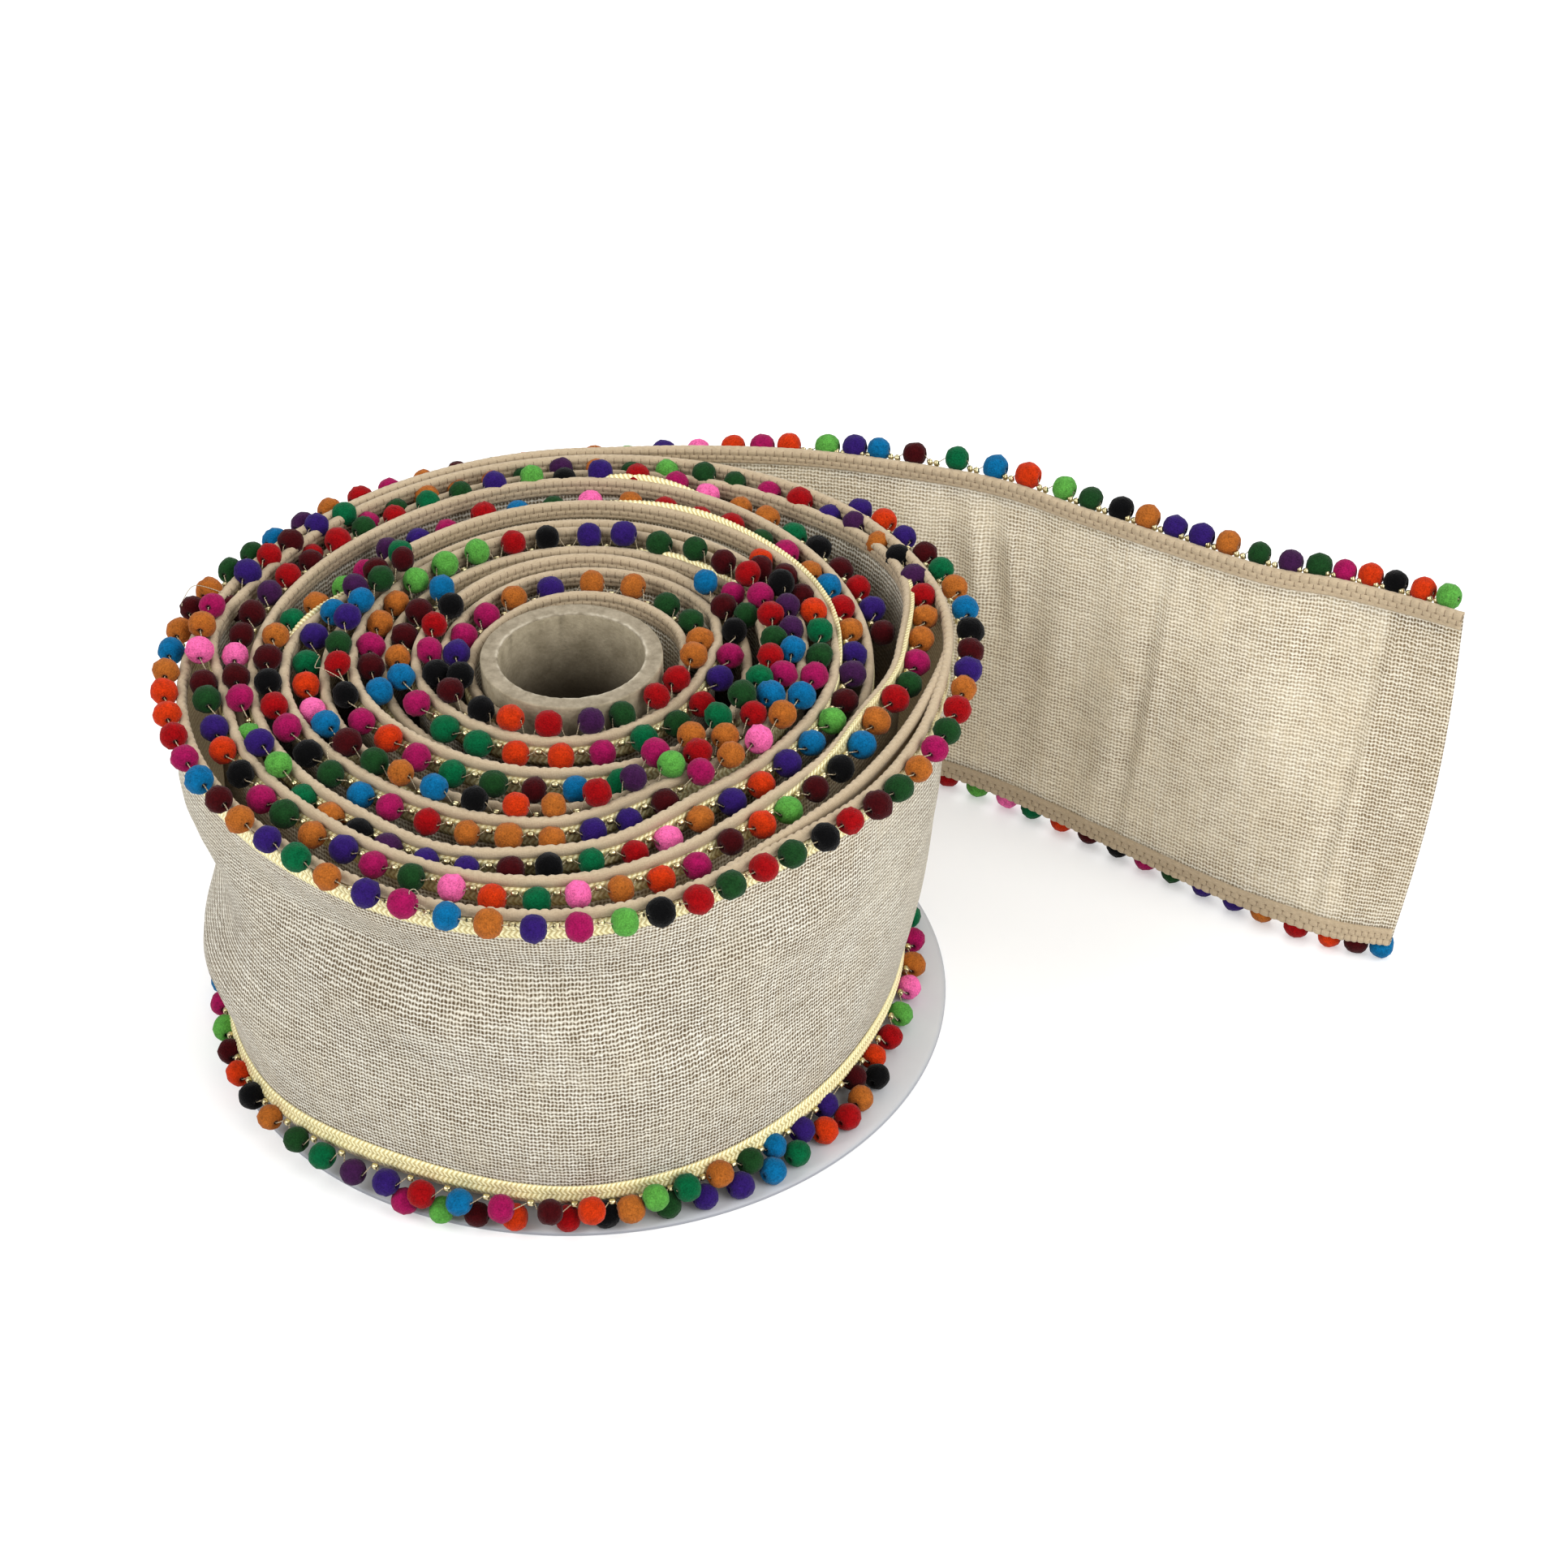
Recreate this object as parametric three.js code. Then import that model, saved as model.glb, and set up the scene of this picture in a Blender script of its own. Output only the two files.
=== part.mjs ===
// A roll of wired pompom ribbon standing on a card spool, with its loose end drawn out to one side.
// Millimetres, +Z up. The origin is on the spool's axis, at the underside of its flange.
import * as THREE from 'three';

// Spool sizes
const CORE_RADIUS = 23;
const CORE_BORE_RADIUS = 18.5;
const CORE_TOP = 108;
const CORE_SIDES = 36;
const FLANGE_RADIUS = 97;
const FLANGE_THICKNESS = 1.2;
const FLANGE_SIDES = 72;
const SEAT_GAP = 0.3;

// Ribbon sizes
const RIBBON_WIDTH = 101.6;
const CLOTH_HALF = 0.5;
const HEM_HEIGHT = 4.2;
const HEM_INSIDE = 1.1;
const HEM_SHOULDER = 0.9;
const FIRST_ANGLE = 90;
const LAST_ANGLE = 90 + 360 * 10 + 138;
const TAIL_STEPS = 18;

// Braid and pompom sizes
const BRAID_WIDTH = 5;
const BRAID_INSET = 2.5;
const BRAID_THICKNESS = 0.6;
const BRAID_GAP = 0.4;
const POMPOM_RADIUS = 3.2;
const POMPOM_PITCH = 10;
const POMPOM_ROOT = 1.8;
const POMPOM_CLEARANCE = 2.6 * POMPOM_RADIUS;
const TAIL_POMPOM = { out: 4, rise: 1.2 };
const OUTER_POMPOM = { out: 4.6, rise: -1.3 };
const INNER_POMPOM = { out: 3, rise: 3 };
const LOWER_POMPOM = { out: 4, rise: 1.6 };
const INNER_POMPOM_SPACING = 24;
const INNER_POMPOM_ROOM = 6.8;
const OUTER_POMPOM_TURN = 0.94;
const POMPOM_ON_FLANGE = FLANGE_RADIUS + 8;

const CLOTH_COLOUR = 0xcbbfa8;
const BRAID_COLOUR = 0xd9c98a;
const CARD_COLOUR = 0x9d8f78;
const FLANGE_COLOUR = 0xdcdce2;

// Turns a header and rows of numbers into rows with named columns.
function table(header, ...rows) {
  const names = header.split(' ');
  return rows.map((row) => Object.fromEntries(names.map((name, index) => [name, row[index]])));
}

const COMPASS = ['back', 'backLeft', 'left', 'frontLeft', 'front', 'frontRight', 'right', 'backRight'];

// One row for each turn, from the outermost inwards: the radius of its upper hem at eight points that start
// at the back and go by the left, how far the turn is propped up off the flange, and the size of its lower
// edge beside the outermost one.
const TURNS = table(
  'back backLeft left frontLeft front frontRight right backRight lift foot',
  [105.2, 99.5, 98.0, 97.0, 98.6, 91.0, 93.5, 103.5, 1.8, 1.000],
  [101.5, 95.8, 89.5, 84.2, 86.4, 73.6, 82.0, 97.0, 2.0, 0.925],
  [97.0, 90.8, 84.4, 81.0, 81.6, 68.6, 74.8, 82.5, 0.0, 0.860],
  [90.2, 84.2, 80.8, 77.2, 74.8, 62.6, 66.6, 73.2, 2.0, 0.785],
  [77.9, 71.7, 72.8, 66.0, 64.0, 55.0, 58.0, 66.0, 2.0, 0.690],
  [71.0, 65.6, 62.8, 59.0, 56.8, 49.2, 53.0, 61.0, 0.3, 0.625],
  [65.5, 61.6, 55.5, 46.6, 43.8, 44.6, 48.3, 55.5, 1.6, 0.550],
  [58.7, 54.0, 48.0, 41.0, 38.0, 40.2, 43.8, 50.0, 0.0, 0.475],
  [53.9, 45.6, 39.5, 32.9, 30.4, 29.6, 33.4, 46.0, 1.2, 0.390],
  [49.6, 40.0, 33.0, 28.6, 27.0, 26.2, 27.5, 34.0, 0.0, 0.320],
  [37.0, 30.0, 26.2, 24.6, 24.6, 24.6, 24.6, 24.6, 0.0, 0.262],
);
const INNERMOST_FOOT = 0.24;

// Sharper bends of the wired upper hems: which turn, the compass angle, how far out the hem is pushed and
// how many degrees the bend reaches to each side.
const HEM_BENDS = table(
  'turn angle out reach',
  [1, 375, 2.2, 26],
  [1, 302, -2.0, 26],
  [2, 169, 3.0, 18],
  [2, 189, -1.5, 18],
  [2, 345, -2.5, 20],
  [2, 391, 4.0, 26],
  [4, 250, 2.2, 20],
  [4, 298, -2.2, 22],
  [5, 150, -3.8, 22],
  [5, 292, -3.6, 26],
);

// Stretches where an upper hem sinks below its neighbours: which turn, the compass angle, how far down it
// goes and how many degrees the dip reaches to each side.
const HEM_DIPS = table(
  'turn angle down reach',
  [3, 205, 4.4, 115],
  [3, 320, 4.4, 115],
  [8, 240, 3.6, 110],
  [8, 340, 3.6, 110],
  [10, 270, 2.0, 150],
);

// The outermost lower edge, as if that turn kept its full size all the way round, how far the edge is raised
// on the balls under it, and how far the outer wall swells out low down and sinks in higher up.
const OUTER_WALL = table(
  'foot rise low high',
  [102.0, 0.0, 0.0, 0.0],
  [102.0, 0.6, 0.0, -1.0],
  [102.0, 1.6, 0.7, -3.0],
  [97.4, 2.9, 1.0, -3.2],
  [94.9, 2.6, 2.2, -2.6],
  [90.2, 1.5, 1.2, -0.8],
  [90.6, 1.6, 3.0, 2.0],
  [98.0, 0.6, 1.5, 1.0],
);

// The loose end in plan, from its cut end back to the roll: upper edge, lower edge, how far it is propped
// up, and its shallow creases low down and higher up.
const TAIL = table(
  'topX topY footX footY lift low high',
  [228.0, 21.6, 217.8, 9.4, 4.4, 0.0, 0.0],
  [212.0, 34.0, 204.0, 13.3, 3.6, 0.4, -0.6],
  [198.0, 40.2, 190.5, 20.4, 3.6, 0.0, 0.6],
  [177.5, 47.2, 172.0, 34.3, 2.5, -0.8, -1.0],
  [136.5, 70.6, 134.0, 64.2, 3.2, 0.8, 1.0],
  [114.8, 84.1, 113.2, 79.5, 3.8, 0.2, 0.0],
  [94.0, 92.9, 93.0, 91.0, 3.4, 0.0, -1.6],
  [61.0, 102.6, 60.5, 100.2, 2.6, 0.0, 0.6],
  [29.5, 106.0, 29.5, 103.2, 2.0, 0.0, 0.0],
  [0.0, 105.2, 0.0, 102.0, 1.8, 0.0, 0.0],
);

// Heights across the cloth where its wall bends, as shares of its width.
const WALL_LEVELS = [0, 0.33, 0.67, 1];

function mix(from, to, share) {
  return from + (to - from) * share;
}

// A smooth curve through evenly spaced values, read at any position between them.
function readCurve(values, position) {
  const last = values.length - 1;
  const start = Math.min(Math.floor(position), last - 1);
  const share = position - start;
  const before = values[Math.max(start - 1, 0)];
  const from = values[start];
  const to = values[start + 1];
  const after = values[Math.min(start + 2, last)];
  const leave = (to - before) / 2;
  const arrive = (after - from) / 2;
  const squared = share * share;
  const cubed = squared * share;
  return from * (2 * cubed - 3 * squared + 1) + leave * (cubed - 2 * squared + share)
    + to * (3 * squared - 2 * cubed) + arrive * (cubed - squared);
}

const HEM_RADII = TURNS.flatMap((turn) => COMPASS.map((point) => turn[point]));

function turnsWound(angle) {
  return (angle - FIRST_ANGLE) / 360;
}

// The sum of the soft humps that a table of bends or dips makes at an angle.
function humps(rows, column, angle) {
  return rows.reduce((sum, row) => {
    const away = Math.abs(angle - (row.angle + 360 * (row.turn - 1)));
    return away < row.reach ? sum + row[column] * 0.5 * (1 + Math.cos(Math.PI * away / row.reach)) : sum;
  }, 0);
}

function hemRadius(angle) {
  return readCurve(HEM_RADII, turnsWound(angle) * 8) + humps(HEM_BENDS, 'out', angle);
}

function roundTheWall(column, angle) {
  const around = OUTER_WALL.map((row) => row[column]);
  const position = ((angle - FIRST_ANGLE) % 360) / 45;
  return readCurve([...around, around[0], around[1]], position);
}

function footRadius(angle) {
  const sizes = [...TURNS.map((turn) => turn.foot), INNERMOST_FOOT];
  const wound = turnsWound(angle);
  const turn = Math.floor(wound);
  return roundTheWall('foot', angle) * mix(sizes[turn], sizes[turn + 1], wound - turn);
}

function turnLift(angle) {
  const wound = turnsWound(angle);
  const turn = Math.floor(wound);
  const next = TURNS[Math.min(turn + 1, TURNS.length - 1)];
  return mix(TURNS[turn].lift, next.lift, THREE.MathUtils.smoothstep(wound - turn, 0.7, 1));
}

// A place along the ribbon: where its upper and lower edges are, and how its wall swells between them.
function place(top, foot, lift, wall) {
  const seat = FLANGE_THICKNESS + SEAT_GAP + lift;
  const lean = top.distanceTo(foot);
  const topZ = seat + Math.sqrt(RIBBON_WIDTH ** 2 - lean ** 2) - wall.dip;
  return { top, foot, footZ: seat + wall.rise, topZ, low: wall.low, high: wall.high };
}

function onCircle(radius, angle) {
  const turned = THREE.MathUtils.degToRad(angle);
  return new THREE.Vector2(radius * Math.cos(turned), radius * Math.sin(turned));
}

function tailPlace(position) {
  const read = (column) => readCurve(TAIL.map((row) => row[column]), position);
  const top = new THREE.Vector2(read('topX'), read('topY'));
  const foot = new THREE.Vector2(read('footX'), read('footY'));
  return place(top, foot, read('lift'), { dip: 0, rise: 0, low: read('low'), high: read('high') });
}

function woundPlace(angle) {
  const outer = turnsWound(angle) < 1 ? 1 : 0;
  const wall = {
    dip: humps(HEM_DIPS, 'down', angle),
    rise: outer * roundTheWall('rise', angle),
    low: outer * roundTheWall('low', angle),
    high: outer * roundTheWall('high', angle),
  };
  const top = onCircle(hemRadius(angle), angle);
  const foot = onCircle(footRadius(angle), angle);
  return place(top, foot, turnLift(angle), wall);
}

// Wider turns take more steps than those near the core.
function stepDegrees(angle) {
  const wound = turnsWound(angle);
  return wound < 5 ? 12 : wound < 9 ? 18 : 20;
}

function ribbonPlaces() {
  const places = [];
  for (let step = 0; step < TAIL_STEPS; step += 1) {
    places.push({ ...tailPlace((TAIL.length - 1) * step / TAIL_STEPS), angle: null });
  }
  for (let angle = FIRST_ANGLE; angle <= LAST_ANGLE; angle += stepDegrees(angle)) {
    places.push({ ...woundPlace(angle), angle });
  }
  let walked = 0;
  places.forEach((here, index) => {
    const before = places[Math.max(index - 1, 0)];
    const after = places[Math.min(index + 1, places.length - 1)];
    const along = after.top.clone().add(after.foot).sub(before.top).sub(before.foot).normalize();
    here.along = new THREE.Vector3(along.x, along.y, 0);
    here.out = new THREE.Vector3(along.y, -along.x, 0);
    walked += before.top.distanceTo(here.top);
    here.walked = walked;
  });
  return places;
}

// A point of the cloth at a share of its width, pushed out from the middle of its thickness.
function clothPoint(here, level, offset) {
  const swells = [0, here.low, here.high, 0];
  const band = Math.max(WALL_LEVELS.findIndex((edge) => edge >= level) - 1, 0);
  const share = (level - WALL_LEVELS[band]) / (WALL_LEVELS[band + 1] - WALL_LEVELS[band]);
  const swell = mix(swells[band], swells[band + 1], share) + offset;
  return new THREE.Vector3(
    mix(here.foot.x, here.top.x, level) + here.out.x * swell,
    mix(here.foot.y, here.top.y, level) + here.out.y * swell,
    mix(here.footZ, here.topZ, level),
  );
}

// The edge of the cloth cut across: flat outside, with a thicker hem inside at both ends.
function clothOutline() {
  const hem = HEM_HEIGHT / RIBBON_WIDTH;
  const shoulder = (HEM_HEIGHT + HEM_SHOULDER) / RIBBON_WIDTH;
  return [
    ...WALL_LEVELS.map((level) => ({ level, offset: CLOTH_HALF })),
    { level: 1, offset: -HEM_INSIDE },
    { level: 1 - hem, offset: -HEM_INSIDE },
    { level: 1 - shoulder, offset: -CLOTH_HALF },
    { level: WALL_LEVELS[2], offset: -CLOTH_HALF },
    { level: WALL_LEVELS[1], offset: -CLOTH_HALF },
    { level: shoulder, offset: -CLOTH_HALF },
    { level: hem, offset: -HEM_INSIDE },
    { level: 0, offset: -HEM_INSIDE },
  ];
}

// Collects points and faces of one closed body.
class Body {
  constructor() {
    this.points = [];
    this.faces = [];
  }

  addLoop(loop) {
    const first = this.points.length;
    this.points.push(...loop);
    return loop.map((_, index) => first + index);
  }

  addQuad(a, b, c, d) {
    this.faces.push(a, b, c, a, c, d);
  }

  addBand(from, to) {
    from.forEach((start, index) => {
      const next = (index + 1) % from.length;
      this.addQuad(start, from[next], to[next], to[index]);
    });
  }

  toMesh(name, colour, roughness, metalness) {
    const geometry = new THREE.BufferGeometry();
    const numbers = this.points.flatMap((point) => [point.x, point.y, point.z]);
    geometry.setAttribute('position', new THREE.Float32BufferAttribute(numbers, 3));
    geometry.setIndex(this.faces);
    return namedMesh(geometry, name, colour, roughness, metalness);
  }
}

function namedMesh(geometry, name, colour, roughness, metalness) {
  geometry.computeVertexNormals();
  const material = new THREE.MeshStandardMaterial({ color: colour, roughness, metalness });
  const mesh = new THREE.Mesh(geometry, material);
  mesh.name = name;
  return mesh;
}

function buildRibbon(places) {
  const body = new Body();
  const outline = clothOutline();
  const loops = places.map((here) => (
    body.addLoop(outline.map((corner) => clothPoint(here, corner.level, corner.offset)))
  ));
  for (let index = 1; index < loops.length; index += 1) {
    body.addBand(loops[index], loops[index - 1]);
  }
  const flat = outline.map((corner) => new THREE.Vector2(corner.offset, corner.level * RIBBON_WIDTH));
  const last = loops[loops.length - 1];
  for (const [a, b, c] of THREE.ShapeUtils.triangulateShape(flat, [])) {
    body.faces.push(loops[0][a], loops[0][b], loops[0][c]);
    body.faces.push(last[a], last[c], last[b]);
  }
  return body.toMesh('ribbon', CLOTH_COLOUR, 0.85, 0);
}

// The ribbon at any distance walked along its upper edge from the cut end.
function placeAt(places, walked) {
  let after = places.findIndex((here) => here.walked > walked);
  after = after < 0 ? places.length - 1 : Math.max(after, 1);
  const from = places[after - 1];
  const to = places[after];
  const share = (walked - from.walked) / (to.walked - from.walked);
  return {
    top: from.top.clone().lerp(to.top, share),
    foot: from.foot.clone().lerp(to.foot, share),
    footZ: mix(from.footZ, to.footZ, share),
    topZ: mix(from.topZ, to.topZ, share),
    low: mix(from.low, to.low, share),
    high: mix(from.high, to.high, share),
    out: from.out.clone().lerp(to.out, share),
    along: from.along.clone().lerp(to.along, share),
    angle: from.angle === null ? null : mix(from.angle, to.angle, share),
    walked,
  };
}

// A ball of the upper braid: it stands up on the loose end, hangs over the outer turn, and nests inside it.
function hungPompom(here, wound) {
  const seat = here.angle === null ? TAIL_POMPOM : wound < 1 ? OUTER_POMPOM : INNER_POMPOM;
  const centre = clothPoint(here, 1, seat.out);
  centre.z += seat.rise;
  return centre;
}

// A ball of the lower braid: on the loose end it lies on the table, on the roll it hangs beside the edge.
function lyingPompom(here) {
  const centre = clothPoint(here, 0, LOWER_POMPOM.out);
  const onFlange = Math.hypot(centre.x, centre.y) < POMPOM_ON_FLANGE;
  const lying = SEAT_GAP + POMPOM_RADIUS + (onFlange ? FLANGE_THICKNESS : 0);
  centre.z = here.angle === null ? lying : Math.max(lying, here.footZ + LOWER_POMPOM.rise);
  return centre;
}

// Where each ball of one braid hangs, from the cut end inwards. On inner turns they stand further apart,
// where the turn outside leaves room for one beside its own.
function pompomSpots(places, upper) {
  const spots = [];
  const length = places[places.length - 1].walked;
  let lastKept = 0;
  for (let walked = POMPOM_PITCH * 0.5; walked < length - POMPOM_PITCH; walked += POMPOM_PITCH) {
    const here = placeAt(places, walked);
    const wound = here.angle === null ? 0 : turnsWound(here.angle);
    const inner = wound >= 1;
    if (inner && !upper) {
      break;
    }
    if (wound > OUTER_POMPOM_TURN && !inner) {
      continue;
    }
    const centre = upper ? hungPompom(here, wound) : lyingPompom(here);
    const crowded = inner && (walked - lastKept < INNER_POMPOM_SPACING
      || hemRadius(here.angle - 360) - hemRadius(here.angle) < INNER_POMPOM_ROOM
      || spots.some((spot) => spot.centre.distanceTo(centre) < POMPOM_CLEARANCE));
    if (!crowded) {
      spots.push({ walked, centre });
      lastKept = walked;
    }
  }
  return spots;
}

// A narrow braid along one edge of the ribbon's outer face, each ball growing out of it as a four-sided lock.
function buildBraid(places, upper, name) {
  const body = new Body();
  const spots = pompomSpots(places, upper);
  const lastSpot = spots[spots.length - 1].walked;
  const stops = places.filter((here) => here.walked < lastSpot + POMPOM_PITCH).map((here) => here.walked);
  const clear = (stop) => spots.every((spot) => Math.abs(spot.walked - stop) > POMPOM_ROOT * 0.9);
  const kept = stops.filter(clear);
  const roots = spots.flatMap((spot) => [spot.walked - POMPOM_ROOT / 2, spot.walked + POMPOM_ROOT / 2]);
  const ordered = [...kept, ...roots].sort((a, b) => a - b);
  const nearEdge = BRAID_INSET / RIBBON_WIDTH;
  const farEdge = (BRAID_INSET + BRAID_WIDTH) / RIBBON_WIDTH;
  const high = upper ? 1 - nearEdge : farEdge;
  const low = upper ? 1 - farEdge : nearEdge;
  const face = CLOTH_HALF + BRAID_GAP + BRAID_THICKNESS;
  const sections = ordered.map((walked) => {
    const here = placeAt(places, walked);
    const loop = body.addLoop([
      clothPoint(here, high, face),
      clothPoint(here, (high + low) / 2, CLOTH_HALF + BRAID_GAP),
      clothPoint(here, low, face),
    ]);
    const starts = (spot) => Math.abs(spot.walked - POMPOM_ROOT / 2 - walked) < 1e-6;
    return { here, loop, spot: spots.find(starts) };
  });
  for (let index = 1; index < sections.length; index += 1) {
    const from = sections[index - 1].loop;
    const to = sections[index].loop;
    body.addQuad(from[1], from[0], to[0], to[1]);
    body.addQuad(from[2], from[1], to[1], to[2]);
    const rim = [from[0], from[2], to[2], to[0]];
    const { spot, here } = sections[index - 1];
    if (spot) {
      addPompom(body, rim, spot.centre, here);
    } else {
      body.addQuad(...rim);
    }
  }
  const first = sections[0].loop;
  const last = sections[sections.length - 1].loop;
  body.faces.push(first[0], first[1], first[2]);
  body.faces.push(last[0], last[2], last[1]);
  return body.toMesh(name, BRAID_COLOUR, 0.5, 0.2);
}

// A ball in two four-sided rings and a flat cap, grown from the rim that the braid leaves open for it.
function addPompom(body, rim, centre, here) {
  const root = new THREE.Vector3();
  rim.forEach((corner) => root.add(body.points[corner]));
  root.divideScalar(4);
  const axis = centre.clone().sub(root).normalize();
  const side = here.along.clone().addScaledVector(axis, -here.along.dot(axis)).normalize();
  const across = new THREE.Vector3().crossVectors(axis, side).normalize();
  const ring = (rise, half) => body.addLoop([[-1, 1], [-1, -1], [1, -1], [1, 1]].map(([a, c]) => (
    centre.clone()
      .addScaledVector(axis, rise)
      .addScaledVector(side, a * half)
      .addScaledVector(across, c * half)
  )));
  const belly = ring(-0.15 * POMPOM_RADIUS, 0.74 * POMPOM_RADIUS);
  const cap = ring(0.8 * POMPOM_RADIUS, 0.45 * POMPOM_RADIUS);
  body.addBand(rim, belly);
  body.addBand(belly, cap);
  body.addQuad(...cap);
}

function buildCore() {
  const ring = new THREE.Shape();
  ring.absarc(0, 0, CORE_RADIUS, 0, Math.PI * 2, false);
  const bore = new THREE.Path();
  bore.absarc(0, 0, CORE_BORE_RADIUS, 0, Math.PI * 2, true);
  ring.holes.push(bore);
  const seat = FLANGE_THICKNESS + SEAT_GAP;
  const geometry = new THREE.ExtrudeGeometry(ring, {
    depth: CORE_TOP - seat,
    bevelEnabled: false,
    curveSegments: CORE_SIDES,
  });
  geometry.translate(0, 0, seat);
  return namedMesh(geometry, 'spool_core', CARD_COLOUR, 0.9, 0);
}

function buildFlange() {
  const geometry = new THREE.CylinderGeometry(FLANGE_RADIUS, FLANGE_RADIUS, FLANGE_THICKNESS, FLANGE_SIDES);
  geometry.rotateX(Math.PI / 2);
  geometry.translate(0, 0, FLANGE_THICKNESS / 2);
  return namedMesh(geometry, 'spool_flange', FLANGE_COLOUR, 0.8, 0);
}

function buildRoll() {
  const roll = new THREE.Group();
  const places = ribbonPlaces();
  roll.add(buildRibbon(places));
  roll.add(buildBraid(places, true, 'braid_upper'));
  roll.add(buildBraid(places, false, 'braid_lower'));
  roll.add(buildCore());
  roll.add(buildFlange());
  return roll;
}

export default buildRoll();
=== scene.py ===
# %% [markdown]
# A roll of wired pompom ribbon stands on a card spool, with its loose end drawn out to the right.
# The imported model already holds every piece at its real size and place, so this lesson loads it first
# and then dresses it: a thin cloth, folded hems, gold braid, velvet balls on a string, card and light.

# %% Load the frame
import math

import bpy
import numpy as np
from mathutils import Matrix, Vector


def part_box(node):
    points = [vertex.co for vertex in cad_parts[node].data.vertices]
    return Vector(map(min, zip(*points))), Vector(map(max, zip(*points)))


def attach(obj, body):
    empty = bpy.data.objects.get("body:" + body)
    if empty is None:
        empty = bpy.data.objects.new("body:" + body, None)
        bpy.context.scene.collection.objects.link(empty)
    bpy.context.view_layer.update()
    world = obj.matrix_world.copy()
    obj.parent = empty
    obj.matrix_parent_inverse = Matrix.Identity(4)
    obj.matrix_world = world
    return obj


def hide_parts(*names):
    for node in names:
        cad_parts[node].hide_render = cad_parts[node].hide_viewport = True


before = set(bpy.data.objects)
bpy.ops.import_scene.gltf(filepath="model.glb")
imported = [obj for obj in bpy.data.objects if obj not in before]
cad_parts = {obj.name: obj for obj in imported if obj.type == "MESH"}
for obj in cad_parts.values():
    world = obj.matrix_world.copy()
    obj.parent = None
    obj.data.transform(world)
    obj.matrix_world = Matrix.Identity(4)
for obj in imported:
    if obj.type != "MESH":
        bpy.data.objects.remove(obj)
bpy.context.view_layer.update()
MM = 0.001

# %% [markdown]
# The camera comes first, because every piece is judged through it. It stands in front of the roll and
# looks down at it, with a long lens, as a product photographer would place it.

# %% Camera
PHOTO_WIDTH = 1932
LENS_IN_PIXELS = 4200
FILM_WIDTH = 36.0
CAMERA_PLACE = (0.0534, -0.7055, 0.5948)
LOOKS_DOWN = 36.78

camera_lens = bpy.data.cameras.new("photo_camera")
camera_lens.sensor_width = FILM_WIDTH
camera_lens.lens = FILM_WIDTH * LENS_IN_PIXELS / PHOTO_WIDTH
camera = bpy.data.objects.new("photo_camera", camera_lens)
camera.location = CAMERA_PLACE
camera.rotation_euler = (math.radians(90 - LOOKS_DOWN), 0, 0)
bpy.context.scene.collection.objects.link(camera)
bpy.context.scene.camera = camera
print("lens", round(camera_lens.lens, 2), "mm")

# %% [markdown]
# The ribbon is one long strip on its edge. Its shape is a path seen from above, traced twice: once for the
# upper hem and once for the lower edge, which stands a little further in or out. Short tables give the radius
# of each turn at eight points of the compass, and a smooth curve joins them. All sizes here are millimetres.

# %% Tables of the wound ribbon
FLANGE_TOP = 1.2
SEAT_GAP = 0.3
RIBBON_WIDTH = 101.6
FIRST_ANGLE = 90
WHOLE_TURNS = 10
LAST_PART_TURN = 138
LAST_ANGLE = FIRST_ANGLE + 360 * WHOLE_TURNS + LAST_PART_TURN


def columns(header, *rows):
    """Named columns from a header and rows of numbers."""
    return dict(zip(header.split(), np.array(rows, float).T))


TURNS = columns(
    "back backLeft left frontLeft front frontRight right backRight lift foot",
    [105.2, 99.5, 98.0, 97.0, 98.6, 91.0, 93.5, 103.5, 1.8, 1.000],
    [101.5, 95.8, 89.5, 84.2, 86.4, 73.6, 82.0, 97.0, 2.0, 0.925],
    [97.0, 90.8, 84.4, 81.0, 81.6, 68.6, 74.8, 82.5, 0.0, 0.860],
    [90.2, 84.2, 80.8, 77.2, 74.8, 62.6, 66.6, 73.2, 2.0, 0.785],
    [77.9, 71.7, 72.8, 66.0, 64.0, 55.0, 58.0, 66.0, 2.0, 0.690],
    [71.0, 65.6, 62.8, 59.0, 56.8, 49.2, 53.0, 61.0, 0.3, 0.625],
    [65.5, 61.6, 55.5, 46.6, 43.8, 44.6, 48.3, 55.5, 1.6, 0.550],
    [58.7, 54.0, 48.0, 41.0, 38.0, 40.2, 43.8, 50.0, 0.0, 0.475],
    [53.9, 45.6, 39.5, 32.9, 30.4, 29.6, 33.4, 46.0, 1.2, 0.390],
    [49.6, 40.0, 33.0, 28.6, 27.0, 26.2, 27.5, 34.0, 0.0, 0.320],
    [37.0, 30.0, 26.2, 24.6, 24.6, 24.6, 24.6, 24.6, 0.0, 0.262],
)
INNERMOST_FOOT = 0.24
LIFT_STARTS = 0.7
HEM_BENDS = columns(
    "turn angle out reach",
    [1, 375, 2.2, 26],
    [1, 302, -2.0, 26],
    [2, 169, 3.0, 18],
    [2, 189, -1.5, 18],
    [2, 345, -2.5, 20],
    [2, 391, 4.0, 26],
    [4, 250, 2.2, 20],
    [4, 298, -2.2, 22],
    [5, 150, -3.8, 22],
    [5, 292, -3.6, 26],
)
HEM_DIPS = columns(
    "turn angle down reach",
    [3, 205, 4.4, 115],
    [3, 320, 4.4, 115],
    [8, 240, 3.6, 110],
    [8, 340, 3.6, 110],
    [10, 270, 2.0, 150],
)
OUTER_WALL = columns(
    "foot rise low high",
    [102.0, 0.0, 0.0, 0.0],
    [102.0, 0.6, 0.0, -1.0],
    [102.0, 1.6, 0.7, -3.0],
    [97.4, 2.9, 1.0, -3.2],
    [94.9, 2.6, 2.2, -2.6],
    [90.2, 1.5, 1.2, -0.8],
    [90.6, 1.6, 3.0, 2.0],
    [98.0, 0.6, 1.5, 1.0],
)
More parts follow.
